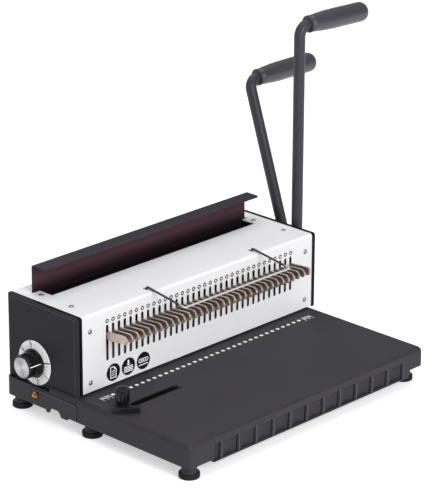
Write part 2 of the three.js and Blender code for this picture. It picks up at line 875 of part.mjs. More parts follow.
function cover() {
  const inner = bodyBend - sheet;
  const profile = [
    [0, throatHeight],
    [sheet, throatHeight],
    ...arc(bodyBend, bodyHeight - bodyBend, inner, 180, 90, cornerSteps),
    [bodyDepth, bodyHeight - sheet],
    [bodyDepth, bodyHeight],
    ...arc(bodyBend, bodyHeight - bodyBend, bodyBend, 90, 180, cornerSteps),
  ];
  const bent = prismX(profile, -coverHalfWidth, coverHalfWidth);
  const lowZ = bodyHeight - sheet - overrun;
  const highZ = bodyHeight + overrun;
  const channel = block(-channelHalfLength, channelHalfLength, channelFrontY, pressRearY, lowZ, highZ);
  const webSlot = block(
    -pressLowerHalfLength - fit,
    pressLowerHalfLength + fit,
    pressFrontY - webClearance,
    pressRearY + webClearance,
    lowZ,
    highZ,
  );
  const swing = THREE.MathUtils.degToRad(bailSwingAngle);
  const swingReach = (sheet + bailPivotDrop) * Math.tan(swing) + bailRadius / Math.cos(swing) + fit;
  const bailSlots = [-bailLeftX, bailRightX].map((x) =>
    block(
      x - bailSlotWidth / 2,
      x + bailSlotWidth / 2,
      bailPivotY - bailSlotWidth / 2,
      bailPivotY + swingReach,
      lowZ,
      highZ,
    ),
  );
  const screwHole = clearing(screwRadius, fit, screwSides);
  const frontHoles = frontScrewPlaces.map(({ x, z }) =>
    rodY(screwHole, -overrun, sheet + overrun, x, z, screwSides),
  );
  const topHoles = topScrewPlaces.map(({ x, y }) => rodZ(screwHole, lowZ, highZ, x, y, screwSides));
  return cut(bent, channel, webSlot, ...bailSlots, ...coverSlots(), ...frontHoles, ...topHoles);
}

function frontScrew(x, z) {
  const head = rodY(screwHeadRadius, -screwHeadHeight, -fit, x, z, screwSides);
  const shank = rodY(screwRadius, -fit - overrun / 2, frontFlangeY - fit, x, z, screwSides);
  return joined(head, shank);
}

function topScrew(x, y) {
  const head = rodZ(screwHeadRadius, bodyHeight + fit, bodyHeight + screwHeadHeight, x, y, screwSides);
  const low = frameTop + flangeThickness + fit;
  const shank = rodZ(screwRadius, low, bodyHeight + fit + overrun / 2, x, y, screwSides);
  return joined(head, shank);
}

function backCover() {
  const half = coverHalfWidth;
  const rear = bodyDepth - fit;
  return block(-half, half, rear - sheet, rear, fit, bodyHeight - sheet - fit);
}

// Black end panels: shallow pans whose lips turn in round the cover

function endOutline(inset) {
  const low = fit + inset;
  const high = bodyHeight - inset;
  return [
    [inset, low],
    [bodyDepth - inset, low],
    [bodyDepth - inset, high],
    ...arc(bodyBend, bodyHeight - bodyBend, bodyBend - inset, 90, 180, cornerSteps),
  ];
}

function endPanel(side) {
  const pan = prismX(endOutline(0), side * (bodyHalfWidth - endLip), side * bodyHalfWidth);
  const hollow = prismX(
    endOutline(sheet),
    side * (bodyHalfWidth - endLip - overrun),
    side * (bodyHalfWidth - sheet),
  );
  const dialTab = block(
    -bodyHalfWidth,
    -bodyHalfWidth + sheet,
    dialTabFrontY,
    bodyDepth,
    -dialTabDepth,
    fit + overrun,
  );
  const holes = (
    side < 0
      ? [[dialY, dialZ, dialShaftRadius]]
      : [
          [punchShaftY, punchShaftZ, shaftRadius],
          [closingShaftY, closingShaftZ, shaftRadius],
        ]
  ).map(([y, z, radius]) =>
    rodX(
      clearing(radius, sheet, shaftSides),
      side * (bodyHalfWidth - endLip),
      side * (bodyHalfWidth + overrun),
      y,
      z,
      shaftSides,
    ),
  );
  const panel = cut(pan, hollow, ...holes);
  return side < 0 ? joined(panel, dialTab) : panel;
}

// Dies, pins and the beam that drives them

function dieHoles(lowZ, highZ) {
  const radius = clearing(pinRadius, fit, pinSides);
  return holePlaces.map((x) => rodZ(radius, lowZ - overrun, highZ + overrun, x, punchY, pinSides));
}

function diePlate() {
  const half = frameInner - fit;
  const plate = block(-half, half, dieFrontY, dieRearY, -dieThickness, -fit);
  return cut(plate, ...dieHoles(-dieThickness, 0));
}

function guidePlate() {
  const half = frameInner - fit;
  const plate = block(-half, half, dieFrontY, dieRearY, throatHeight, guideTopZ);
  const spacers = [-1, 1].map((side) =>
    block(side * (half - spacerReach), side * half, dieFrontY, dieRearY, 0, throatHeight + overrun),
  );
  return cut(joined(plate, ...spacers), ...dieHoles(throatHeight, guideTopZ));
}

function punchPins() {
  const strip = block(
    -pinStripHalfLength,
    pinStripHalfLength,
    punchY - pinStripHalfWidth,
    punchY + pinStripHalfWidth,
    pinStripLowZ,
    pinStripTopZ,
  );
  const pins = holePlaces.map((x) =>
    rodZ(pinRadius, pinTipZ, pinStripLowZ + overrun, x, punchY, pinSides),
  );
  return joined(strip, ...pins);
}

function punchBeam() {
  return block(
    -beamHalfLength,
    beamHalfLength,
    punchY - beamHalfWidth,
    punchY + beamHalfWidth,
    beamLowZ,
    beamTopZ,
  );
}

// Shaft parts, each about its own shaft line at y = 0, z = 0

const shaft = (right) => rodX(shaftRadius, -shaftLeftEnd, right, 0, 0, shaftSides);

function bush(side) {
  const bore = clearing(shaftRadius, fit, hiddenSides);
  const flangeStart = side * (frameInner - fit - bushFlangeThickness);
  const tube = rodX(bushRadius, flangeStart, side * frameOuter, 0, 0, hiddenSides);
  const flange = rodX(bushFlangeRadius, flangeStart, side * (frameInner - fit), 0, 0, hiddenSides);
  const hole = rodX(bore, flangeStart - side * overrun, side * (frameOuter + overrun), 0, 0, hiddenSides);
  return cut(joined(tube, flange), hole);
}

function returnSpring(from) {
  const count = springTurns * springSteps;
  const stations = Array.from({ length: count + 1 }, (_, i) => {
    const angle = (2 * Math.PI * i) / springSteps;
    return new THREE.Vector3(
      from + (springPitch * i) / springSteps,
      springCoilRadius * Math.cos(angle),
      springCoilRadius * Math.sin(angle),
    );
  });
  return sweep(stations, springWire, springSides);
}

function punchCam(side) {
  const rate = punchStroke / THREE.MathUtils.degToRad(punchSweepAngle);
  const x0 = side * camPlace - camWidth / 2;
  const x1 = side * camPlace + camWidth / 2;
  const disc = rodX(camBase, x0, x1, 0, 0, hiddenSides);
  const lobe = prismX(camOutline(camBase, rate, punchSweepAngle, -90, camSteps), x0, x1);
  const bore = clearing(shaftRadius, fit, hiddenSides);
  return cut(joined(disc, lobe), rodX(bore, x0 - overrun, x1 + overrun, 0, 0, hiddenSides));
}

// Pinion and rack teeth

const pressureAngle = THREE.MathUtils.degToRad(gearPressureAngle);
const involute = (angle) => Math.tan(angle) - angle;

// One gear tooth's points, root to root, centred on angle zero.
function toothPoints() {
  const baseCircle = gearRadius * Math.cos(pressureAngle);
  const halfAtPitch = Math.PI / (2 * gearTeeth) - gearBacklash / (4 * gearRadius);
  const start = Math.max(baseCircle, gearRoot);
  const flank = Array.from({ length: gearFlankSteps + 1 }, (_, i) => {
    const radius = start + ((gearTip - start) * i) / gearFlankSteps;
    const half = halfAtPitch + involute(pressureAngle) - involute(Math.acos(baseCircle / radius));
    return [radius, half];
  });
  const rootHalf = flank[0][1];
  return [
    [gearRoot, -rootHalf],
    ...flank.map(([radius, half]) => [radius, -half]),
    ...flank.map(([radius, half]) => [radius, half]).reverse(),
    [gearRoot, rootHalf],
  ];
}

// The pinion is toothed over the sector that meets the rack, which lies in front of it.
function pinion(side) {
  const pitchAngle = (2 * Math.PI) / gearTeeth;
  const points = [];
  for (let k = 0; k < gearSectorTeeth; k += 1) {
    const middle = Math.PI + pitchAngle * (1 - k);
    for (const [radius, half] of toothPoints().reverse()) {
      points.push([radius * Math.cos(middle + half), radius * Math.sin(middle + half)]);
    }
  }
  const x0 = side * gearPlace - gearWidth / 2;
  const x1 = side * gearPlace + gearWidth / 2;
  const sector = prismX([[0, 0], ...points], x0, x1);
  const hub = rodX(gearHubRadius, x0, x1, 0, 0, hiddenSides);
  const bore = clearing(shaftRadius, fit, hiddenSides);
  return cut(joined(hub, sector), rodX(bore, x0 - overrun, x1 + overrun, 0, 0, hiddenSides));
}

// The rack is a hooked plate: its front prong holds the teeth, and its rear leg is fixed to the press plate.
function pressRack(side) {
  const tipY = rackPitchY + gearModule;
  const slope = Math.tan(pressureAngle);
  const half = rackPitch / 4 - gearBacklash / 4;
  const atRoot = half + (rackPitchY - rackRootY) * slope;
  const atTip = half - (tipY - rackPitchY) * slope;
  const teeth = [];
  for (let k = 0; k < rackTeeth; k += 1) {
    const middle = closingShaftZ + (k - 1 / 2) * rackPitch;
    teeth.push(
      [rackRootY, middle - atRoot],
      [tipY, middle - atTip],
      [tipY, middle + atTip],
      [rackRootY, middle + atRoot],
    );
  }
  const legRear = pressFrontY - fit;
  const legTop = closingShaftZ + gearTip;
  const prongTop = closingShaftZ + (rackTeeth - 1 / 2) * rackPitch;
  const outline = [
    [rackFrontY, pressBottomZ],
    [legRear, pressBottomZ],
    [legRear, legTop],
    [rackLegY, legTop],
    [rackLegY, pressBottomZ + rackFoot],
    [rackRootY, pressBottomZ + rackFoot],
    ...teeth,
    [rackRootY, prongTop],
    [rackFrontY, prongTop],
  ];
  return prismX(outline, side * gearPlace - rackWidth / 2, side * gearPlace + rackWidth / 2);
}

// Press plate: a bent sheet whose top flange points forward over the channel

function pressPlate() {
  const frontY = pressRearY - pressDepth;
  const inner = pressBend - pressSheet;
  const bendY = pressRearY - pressBend;
  const bendZ = pressTopZ - pressBend;
  const profile = [
    [pressFrontY, frameTop],
    [pressRearY, frameTop],
    ...arc(bendY, bendZ, pressBend, 0, 90, cornerSteps),
    [frontY, pressTopZ],
    [frontY, pressTopZ - pressSheet],
    ...arc(bendY, bendZ, inner, 90, 0, 1),
  ];
  const bent = prismX(profile, -pressHalfLength, pressHalfLength);
  const rightNotch = block(
    pressWebRight,
    pressHalfLength + overrun,
    pressFrontY - overrun,
    pressRearY + overrun,
    frameTop - overrun,
    pressTopZ - pressBend,
  );
  const upper = cut(bent, rightNotch);
  const lower = block(
    -pressLowerHalfLength,
    pressLowerHalfLength,
    pressFrontY,
    pressRearY,
    pressBottomZ,
    frameTop + overrun,
  );
  return joined(upper, lower);
}

// Anvil: the fixed lower jaw in the channel
function anvil() {
  const half = frameInner - fit;
  const ends = block(-half, half, channelFrontY + fit, anvilEndRearY, anvilLowZ, anvilTopZ);
  const middle = gearPlace - gearWidth;
  const jaw = block(
    -middle,
    middle,
    channelFrontY + fit,
    pressFrontY - webClearance,
    anvilLowZ,
    anvilTopZ,
  );
  return joined(ends, jaw);
}

// Levers, each in its own frame: the shaft line is at the origin and the bar stands up along Z

// Where a grip starts along its own axis, measured from the corner of the bar that it is on.
function gripStart(droop) {
  const halfBend = THREE.MathUtils.degToRad((90 + droop) / 2);
  return barBend * Math.tan(halfBend) + barToGrip;
}

function leverBar(x, top, droop) {
  const reach = gripStart(droop) + barInGrip;
  const angle = THREE.MathUtils.degToRad(droop);
  const points = [
    new THREE.Vector3(x, 0, barSocket),
    new THREE.Vector3(x, 0, top),
    new THREE.Vector3(x + reach * Math.cos(angle), 0, top - reach * Math.sin(angle)),
  ];
  return sweep(route(points, barBend, barBendSteps), barRadius, barSides);
}

function leverHub(x) {
  const x0 = x - hubWidth / 2;
  const x1 = x + hubWidth / 2;
  const hub = rodX(hubRadius, x0, x1, 0, 0, shaftSides);
  const bore = rodX(clearing(shaftRadius, fit, shaftSides), x0 - overrun, x1 + overrun, 0, 0, shaftSides);
  const socket = rodZ(
    clearing(barRadius, fit, shaftSides),
    barSocket - fit,
    hubRadius + overrun,
    x,
    0,
    shaftSides,
  );
  return cut(hub, bore, socket);
}

// The grip lies along X from the bar's corner, which is its origin.
function grip(droop) {
  const start = gripStart(droop);
  const end = start + gripLength;
  const round = gripFullRadius * gripTipShare;
  const flat = gripFullRadius - round;
  const tip = arc(end - round, flat, round, 90, 0, gripEndStations);
  const bore = clearing(barRadius, fit, barSides);
  const boreEnd = start + barInGrip + fit;
  const profile = [
    [boreEnd, 0],
    [boreEnd, bore],
    [start, bore],
    [start, gripCollarRadius],
    [start + gripCollar, gripCollarRadius],
    [start + gripCollar, gripStartRadius],
    [start + gripLength * gripMiddleShare, gripMiddleRadius],
    ...tip,
    [end, 0],
  ];
  return turnedX(profile, gripSides);
}

// Hook comb: a carrier bar behind the front panel with one hook through each slot

function hookComb() {
  const tipY = -hookReach;
  const lobeY = tipY + hookTipWidth / 2;
  const neckY = tipY + hookTipWidth;
  const middleZ = (hookTipLowZ + hookTipHighZ) / 2;
  const outline = [
    [carrierFrontY + carrierThickness / 2, hookRootLowZ],
    [neckY / 2, hookRootLowZ],
    [neckY, hookTipLowZ + hookTipWidth / 4],
    [lobeY + hookTipWidth / 4, hookTipLowZ],
    [lobeY - hookTipWidth / 4, hookTipLowZ],
    [tipY, middleZ - hookTipWidth / 4],
    [tipY, middleZ + hookTipWidth / 4],
    [lobeY - hookTipWidth / 8, hookTipHighZ],
    [neckY, hookTipHighZ],
    [carrierFrontY + carrierThickness / 2, hookRootHighZ],
  ];
  const carrier = block(
    -carrierHalfLength,
    carrierHalfLength,
    carrierFrontY,
    carrierFrontY + carrierThickness,
    carrierLowZ,
    carrierHighZ,
  );
  const hooks = holePlaces.map((x) => prismX(outline, x - hookThickness / 2, x + hookThickness / 2));
  return joined(carrier, ...hooks);
}

// Wire bail: one bent wire whose ends turn out under the cover's top
function wireBail() {
  const pivotZ = bodyHeight - sheet - bailPivotDrop;
  const shoulderZ = bodyHeight + bailRise;
  const frontY = bailPivotY - bailReach;
  const frontZ = shoulderZ - bailFall;
  const points = [
    new THREE.Vector3(-bailLeftX - bailStub, bailPivotY, pivotZ),
    new THREE.Vector3(-bailLeftX, bailPivotY, pivotZ),
    new THREE.Vector3(-bailLeftX, bailPivotY, shoulderZ),
    new THREE.Vector3(-bailLeftX, frontY, frontZ),
    new THREE.Vector3(bailRightX, frontY, frontZ),
    new THREE.Vector3(bailRightX, bailPivotY, shoulderZ),
    new THREE.Vector3(bailRightX, bailPivotY, pivotZ),
    new THREE.Vector3(bailRightX + bailStub, bailPivotY, pivotZ),
  ];
  return sweep(route(points, bailCorner, bailBendSteps), bailRadius, bailSides);
}

// Dial: the scale plate is fixed to the end panel; knob, cap and shaft turn

function dialPlate() {
  const outer = -bodyHalfWidth - fit - dialThickness;
  const plate = rodX(dialRadius, outer, -bodyHalfWidth - fit, dialY, dialZ, dialSides);
  return cut(plate, rodX(dialBore, outer - overrun, -bodyHalfWidth, dialY, dialZ, shaftSides));
}

const knobBack = -bodyHalfWidth - 2 * fit - dialThickness;

function dialKnob() {
  const skirt = rodX(knobSkirtRadius, knobBack - knobSkirt, knobBack, 0, 0, dialSides);
  const body = prismX(fluted(knobRadius, knobFluteDepth, knobFlutes), knobBack - knobLength, knobBack);
  const bore = clearing(dialShaftRadius, fit, barSides);
  const hole = rodX(bore, knobBack - dialShaftBlind - fit, knobBack + overrun, 0, 0, barSides);
  return cut(joined(skirt, body), hole);
}

function knobCap() {
  const back = knobBack - knobLength - fit;
  return rodX(capRadius, back - capThickness, back, 0, 0, dialSides);
}

// The shaft's inner end is a snail cam that pushes the depth stop forward.
function dialShaft() {
  const rate = stopTravel / THREE.MathUtils.degToRad(dialSweepAngle);
  const inner = -stopCamOuter + stopCamWidth;
  const rod = rodX(dialShaftRadius, knobBack - dialShaftBlind, inner, 0, 0, barSides);
  const disc = rodX(stopCamBase, -stopCamOuter, inner, 0, 0, shaftSides);
  const snail = prismX(
    camOutline(stopCamBase, rate, dialSweepAngle, 180, stopCamSteps),
    -stopCamOuter,
    inner,
  );
  return joined(rod, disc, snail);
}

function depthStop() {
  const inner = -stopCamOuter + stopCamWidth;
  const bar = block(-stopCamOuter, stopHalfLength, stopBarY, stopBarY + stopBarWidth, fit, stopBarHeight);
  const lip = block(
    -stopHalfLength,
    stopHalfLength,
    stopLipY,
    stopBarY + overrun,
    fit,
    fit + stopLipThickness,
  );
  const arm = block(
    -stopCamOuter,
    inner,
    stopBarY,
    dialY - stopCamBase - fit,
    stopArmLowZ,
    stopArmHighZ,
  );
  return joined(bar, lip, arm);
}

// Side guide, about the stud's line at x = 0, y = 0

function guideBolt() {
  const top = -basePlate - fit;
  const head = block(
    -guideHeadLength / 2,
    guideHeadLength / 2,
    -guideHeadWidth / 2,
    guideHeadWidth / 2,
    top - guideHeadHeight,
    top,
  );
  return joined(head, rodZ(guideStudRadius, top - overrun, guideStudTop, 0, 0, barSides));
}

function guideArm() {
  const plate = prismZ(
    roundedRectangle(
      -guideArmLeft,
      guideArmRight,
      -guideArmFront,
      guideArmRear,
      guideStudRadius,
      slotEndSteps,
    ),
    fit,
    fit + guideArmThickness,
  );
  const hole = clearing(guideStudRadius, fit, barSides);
  return cut(plate, rodZ(hole, -overrun, guideArmThickness + overrun, 0, 0, barSides));
}

function guideKnob() {
  const low = 2 * fit + guideArmThickness;
  const knob = prismZ(
    fluted(guideKnobRadius, guideKnobFluteDepth, guideKnobFlutes),
    low,
    low + guideKnobHeight,
  );
  const hole = clearing(guideStudRadius, fit, barSides);
  const roof = low + guideKnobHeight - guideKnobRoof;
  return cut(knob, rodZ(hole, low - overrun, roof, 0, 0, barSides));
}

// Assembly

// A group at a place, holding the given meshes and groups.
function group(members, x = 0, y = 0, z = 0) {
  const made = new THREE.Group();
  made.add(...members);
  made.position.set(x, y, z);
  return made;
}

const base = group([
  piece("base_tray", baseTray(), finish.tablePlastic),
  ...footPlaces.map(({ name, x, y }) => piece(name, foot(x, y), finish.rubber)),
]);

const tray = group([
  piece("chip_tray", chipTray(), finish.tablePlastic),
  piece("tray_catch", trayCatch(), finish.brass),
]);

const housing = group([
  piece("side_frame_left", sideFrame(-1), finish.zinc),
  piece("side_frame_right", sideFrame(1), finish.zinc),
  piece("tie_bar", tieBar(), finish.zinc),
  piece("cover", cover(), finish.whitePaint),
  piece("back_cover", backCover(), finish.blackPaint),
  piece("end_panel_left", endPanel(-1), finish.blackPaint),
  piece("end_panel_right", endPanel(1), finish.blackPaint),
  ...frontScrewPlaces.map(({ name, x, z }) => piece(name, frontScrew(x, z), finish.zinc)),
  ...topScrewPlaces.map(({ name, x, y }) => piece(name, topScrew(x, y), finish.zinc)),
]);

const dies = group([
  piece("die_plate", diePlate(), finish.steel),
  piece("guide_plate", guidePlate(), finish.steel),
  piece("punch_pins", punchPins(), finish.steel),
  piece("punch_beam", punchBeam(), finish.zinc),
]);

const punchDrive = group(
  [
    piece("punch_shaft", shaft(punchLeverX + hubWidth / 2), finish.steel),
    piece("punch_bush_left", bush(-1), finish.bronze),
    piece("punch_bush_right", bush(1), finish.bronze),
    piece("punch_cam_left", punchCam(-1), finish.steel),
    piece("punch_cam_right", punchCam(1), finish.steel),
    piece("punch_spring", returnSpring(-springStart), finish.springSteel),
  ],
  0,
  punchShaftY,
  punchShaftZ,
);

// A lever about its shaft line, leaning back by an angle, with its hub, bar and grip.
function lever(name, x, top, lean, droop, shaftY, shaftZ) {
  const gripGroup = group([piece(`${name}_grip`, grip(droop), finish.gripPlastic)], x, 0, top);
  gripGroup.rotation.y = THREE.MathUtils.degToRad(droop);
  const made = group(
    [
      piece(`${name}_hub`, leverHub(x), finish.blackPaint),
      piece(`${name}_lever_bar`, leverBar(x, top, droop), finish.blackPaint),
      gripGroup,
    ],
    0,
    shaftY,
    shaftZ,
  );
  made.rotation.x = THREE.MathUtils.degToRad(-lean);
  return made;
}

const punchLever = lever(
  "punch",
  punchLeverX,
  punchLeverTop,
  punchLeanAngle,
  punchDroopAngle,
  punchShaftY,
  punchShaftZ,
);

const closingDrive = group(
  [
    piece("closing_shaft", shaft(closingLeverX + hubWidth / 2), finish.steel),
    piece("closing_bush_left", bush(-1), finish.bronze),
    piece("closing_bush_right", bush(1), finish.bronze),
    piece("closing_pinion_left", pinion(-1), finish.steel),
    piece("closing_pinion_right", pinion(1), finish.steel),
    piece("closing_spring", returnSpring(springStart), finish.springSteel),
  ],
  0,
  closingShaftY,
  closingShaftZ,
);

const closingLever = lever(
  "closing",
  closingLeverX,
  closingLeverTop,
  closingLeanAngle,
  closingDroopAngle,
  closingShaftY,
  closingShaftZ,
);

const press = group([
  piece("press_plate", pressPlate(), finish.pressPaint),
  piece("press_rack_left", pressRack(-1), finish.steel),
  piece("press_rack_right", pressRack(1), finish.steel),
  piece("anvil", anvil(), finish.pressPaint),
]);

const wireHolders = group([
  piece("hook_comb", hookComb(), finish.hookSteel),
  piece("wire_bail", wireBail(), finish.steel),
]);

const dial = group([
  piece("dial_plate", dialPlate(), finish.dialWhite),
  piece("depth_stop", depthStop(), finish.zinc),
  group(
    [
      piece("dial_knob", dialKnob(), finish.knobPlastic),
      piece("knob_cap", knobCap(), finish.capAluminium),
      piece("dial_shaft", dialShaft(), finish.steel),
    ],
    0,
    dialY,
    dialZ,
  ),
]);

const guideArmGroup = group([piece("guide_arm", guideArm(), finish.blackPaint)]);
guideArmGroup.rotation.z = THREE.MathUtils.degToRad(guideArmAngle);

const sideGuide = group(
  [
    piece("guide_bolt", guideBolt(), finish.zinc),
    guideArmGroup,
    piece("guide_knob", guideKnob(), finish.knobPlastic),
  ],
  -guideX,
  -guideY,
  0,
);

const machine = group([
  base,
  tray,
  housing,
  dies,
  punchDrive,
  punchLever,
  closingDrive,
  closingLever,
  press,
  wireHolders,
  dial,
  sideGuide,
]);

// The origin goes to the middle of the underside of the bounding box.
machine.updateMatrixWorld(true);
const bounds = new THREE.Box3().setFromObject(machine, true);
const centre = bounds.getCenter(new THREE.Vector3());
machine.position.set(-centre.x, -centre.y, -bounds.min.z);

const coilBindingMachine = new THREE.Group();
coilBindingMachine.name = "coil_binding_machine";
coilBindingMachine.add(machine);

export default coilBindingMachine;
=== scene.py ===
"""Looks of a desktop wire and coil binding machine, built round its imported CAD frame.

Shapes are written in millimetres in the drawing frame of the machine: x = 0 is the middle of the hole row,
y = 0 the face of the front panel and z = 0 the table's top. ORIGIN carries them into the frame of the part.
"""

import json
import math

import bmesh
import bpy
from mathutils import Matrix, Vector


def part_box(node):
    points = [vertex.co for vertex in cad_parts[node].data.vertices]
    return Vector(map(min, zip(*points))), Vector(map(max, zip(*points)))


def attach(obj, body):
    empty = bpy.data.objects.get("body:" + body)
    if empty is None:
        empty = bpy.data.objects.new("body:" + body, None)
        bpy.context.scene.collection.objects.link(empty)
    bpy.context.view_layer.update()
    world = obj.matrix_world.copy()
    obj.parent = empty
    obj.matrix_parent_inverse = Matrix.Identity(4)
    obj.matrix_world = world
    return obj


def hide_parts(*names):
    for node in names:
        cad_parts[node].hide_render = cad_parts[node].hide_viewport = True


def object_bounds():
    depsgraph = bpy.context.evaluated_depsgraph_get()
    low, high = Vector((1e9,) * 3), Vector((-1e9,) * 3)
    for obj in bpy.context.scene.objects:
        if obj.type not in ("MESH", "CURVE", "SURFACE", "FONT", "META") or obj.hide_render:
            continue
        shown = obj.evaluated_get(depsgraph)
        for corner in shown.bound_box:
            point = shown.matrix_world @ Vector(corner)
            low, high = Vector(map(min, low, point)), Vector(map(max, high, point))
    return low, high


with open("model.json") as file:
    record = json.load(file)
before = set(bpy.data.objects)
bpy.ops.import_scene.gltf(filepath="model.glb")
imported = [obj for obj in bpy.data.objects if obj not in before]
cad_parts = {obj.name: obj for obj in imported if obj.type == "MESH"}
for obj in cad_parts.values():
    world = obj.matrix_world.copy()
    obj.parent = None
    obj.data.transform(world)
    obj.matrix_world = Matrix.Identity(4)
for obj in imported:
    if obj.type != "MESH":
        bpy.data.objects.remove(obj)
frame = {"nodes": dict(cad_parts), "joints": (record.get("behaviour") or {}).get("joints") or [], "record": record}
cad_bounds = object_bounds()

MM = 0.001
cover_low, cover_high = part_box("cover")
ORIGIN = Vector(((cover_low.x + cover_high.x) / 2, cover_low.y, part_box("base_tray")[1].z))


def span(node):
    """The lowest and highest corner of a CAD node, in millimetres in the drawing frame."""
    low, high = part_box(node)
    return (low - ORIGIN) / MM, (high - ORIGIN) / MM


def placed(name, data):
    """A new object in the scene."""
    item = bpy.data.objects.new(name, data)
    bpy.context.scene.collection.objects.link(item)
    return item


# Camera, at the place found from the edges that the photograph shows
CAMERA_PLACE = Vector((-1870.175, -1835.034, 1104.177))
CAMERA_AZIMUTH = 45.881
CAMERA_PITCH = 20.551
CAMERA_ROLL = 0.224
CAMERA_LENS = 219.05
SENSOR = 36


def make_camera():
    camera = bpy.data.cameras.new("camera")
    camera.sensor_fit = "HORIZONTAL"
    camera.sensor_width = SENSOR
    camera.lens = CAMERA_LENS
    camera.clip_end = 60
    item = placed("camera", camera)
    azimuth = math.radians(CAMERA_AZIMUTH)
    pitch = math.radians(CAMERA_PITCH)
    level = math.cos(pitch)
    forward = Vector((math.sin(azimuth) * level, math.cos(azimuth) * level, -math.sin(pitch)))
    turned = forward.to_track_quat("-Z", "Y").to_matrix().to_4x4()
    rolled = turned @ Matrix.Rotation(math.radians(CAMERA_ROLL), 4, "Z")
    item.matrix_world = Matrix.Translation(ORIGIN + CAMERA_PLACE * MM) @ rolled
    bpy.context.scene.camera = item


# Node trees

# Every material by its name
materials = {}


class Nodes:
    """A material's node tree, with one short call for each node."""

    def __init__(self, name):
        self.material = bpy.data.materials.new(name)
        materials[name] = self.material
        self.material.use_nodes = True
        self.tree = self.material.node_tree
        self.tree.nodes.clear()
        self.output = self.tree.nodes.new("ShaderNodeOutputMaterial")

    def add(self, kind, inputs=(), **settings):
        node = self.tree.nodes.new(kind)
        for key, value in settings.items():
            setattr(node, key, value)
        for key, value in dict(inputs).items():
            self.set(node, key, value)
        return node

    def set(self, node, key, value):
        if isinstance(value, bpy.types.NodeSocket):
            self.tree.links.new(value, node.inputs[key])
        else:
            node.inputs[key].default_value = value

    def coordinate(self, output, axis):
        """One of the three numbers of a texture coordinate, such as Object or Normal."""
        where = self.add("ShaderNodeTexCoord").outputs[output]
        return self.add("ShaderNodeSeparateXYZ", {0: where}).outputs[axis]

    def noise(self, scale, detail, stretch=(1, 1, 1), roughness=0.5):
        """Noise over the place on the piece, which a stretch scales along each axis."""
        where = self.add("ShaderNodeTexCoord").outputs["Object"]
        place = self.add("ShaderNodeMapping", {"Vector": where, "Scale": stretch}).outputs["Vector"]
        inputs = {"Vector": place, "Scale": scale, "Detail": detail, "Roughness": roughness}
        return self.add("ShaderNodeTexNoise", inputs).outputs["Fac"]

    def spread(self, value, low=0, high=1, start=0.3, end=0.7):
        """A value between start and end, mapped to low and high."""
        inputs = {"Value": value, "From Min": start, "From Max": end, "To Min": low, "To Max": high}
        return self.add("ShaderNodeMapRange", inputs).outputs["Result"]

    def mix(self, share, first, second):
        node = self.add("ShaderNodeMix", data_type="RGBA")
        self.set(node, 0, share)
        self.set(node, 6, first)
        self.set(node, 7, second)
        return node.outputs[2]

    def maths(self, operation, first, second=0):
        return self.add("ShaderNodeMath", {0: first, 1: second}, operation=operation).outputs[0]

    def bump(self, height, distance):
        inputs = {"Height": height, "Distance": distance, "Strength": 1}
        return self.add("ShaderNodeBump", inputs).outputs["Normal"]

    def edges(self, width):
        """How far a place lies on an outer edge, from 0 to 1."""
        inputs = {"Distance": width}
        node = self.add("ShaderNodeAmbientOcclusion", inputs, samples=6, inside=True, only_local=True)
        return self.spread(node.outputs["AO"], 1, 0, 0.45, 0.95)

    def open_share(self, distance, start, end):
        """How open a place is to its surroundings, from 0 in a tight gap to 1."""
        seen = self.add("ShaderNodeAmbientOcclusion", {"Distance": distance}, samples=8).outputs["AO"]
        return self.spread(seen, 0, 1, start, end)

    def surface(self, **inputs):
        shader = self.add("ShaderNodeBsdfPrincipled")
        for key, value in inputs.items():
            self.set(shader, key.replace("_", " "), value)
        self.tree.links.new(shader.outputs[0], self.output.inputs[0])
        return self.material


def shade(colour, factor=1):
    return (*[min(part * factor, 1) for part in colour], 1)


def coated(
    name, colour, roughness, grain, depth, gloss, edge=1.35, edge_width=0.0009, mottle=0.06, gap=0, rim=1
):
    """Paint, powder coat or moulded plastic: a fine grain, faint mottling and lighter edges, partly wear
    and partly painted highlight. A gap, where given, is how far into a narrow space the surface is darkened
    as painted shade, and rim is how dark the sides are that don't face along X, a painted shade on them."""
    nodes = Nodes(name)
    fine = nodes.noise(grain, 3)
    broad = nodes.noise(18, 4)
    base = nodes.mix(nodes.spread(broad), shade(colour, 1 - mottle), shade(colour, 1 + mottle))
    speck = nodes.mix(nodes.spread(fine, 0, 0.18), base, shade(colour, 1.25))
    # Painted shade: sides that don't face along X are darker.
    if rim != 1:
        facing = nodes.maths("ABSOLUTE", nodes.coordinate("Normal", 0))
        speck = nodes.mix(nodes.spread(facing, 0, 1, 0.2, 0.6), shade(colour, rim), speck)
    # Lighter edges: partly wear, partly painted highlight.
    wear_and_highlight = nodes.mix(nodes.maths("MULTIPLY", nodes.edges(edge_width), 0.55), speck, shade(colour, edge))
    # Painted shade: darker in narrow spaces.
    if gap:
        wear_and_highlight = nodes.mix(nodes.open_share(gap, 0.35, 0.95), shade(colour, 0.3), wear_and_highlight)
    drift = nodes.spread(broad, -0.04, 0.04)
    rough = nodes.maths("ADD", drift, nodes.spread(fine, roughness - 0.03, roughness + 0.03))
    return nodes.surface(
        Base_Color=wear_and_highlight,
        Roughness=rough,
        Specular_IOR_Level=gloss,
        Normal=nodes.bump(fine, depth),
    )


def metal(name, colour, roughness, stretch=(1, 1, 1), scale=700, depth=0.00002, stain=0.12, gap=0):
    """Bare or plated metal with a brushed or drawn grain that runs along the axis of the least stretch.
    A gap, where given, is how far into a narrow space the metal is darkened, as painted shade."""
    nodes = Nodes(name)
    grain = nodes.noise(scale, 4, stretch)
    broad = nodes.noise(40, 5)
    base = nodes.mix(nodes.spread(broad), shade(colour, 1 - stain), shade(colour, 1 + stain))
    lined = nodes.mix(nodes.spread(grain, 0, 0.35), base, shade(colour, 0.7))
    # Painted shade: darker in narrow spaces.
    if gap:
        lined = nodes.mix(nodes.open_share(gap, 0.4, 0.95), shade(colour, 0.3), lined)
    rough = nodes.spread(grain, roughness - 0.06, roughness + 0.1)
    return nodes.surface(Base_Color=lined, Roughness=rough, Metallic=1, Normal=nodes.bump(grain, depth))


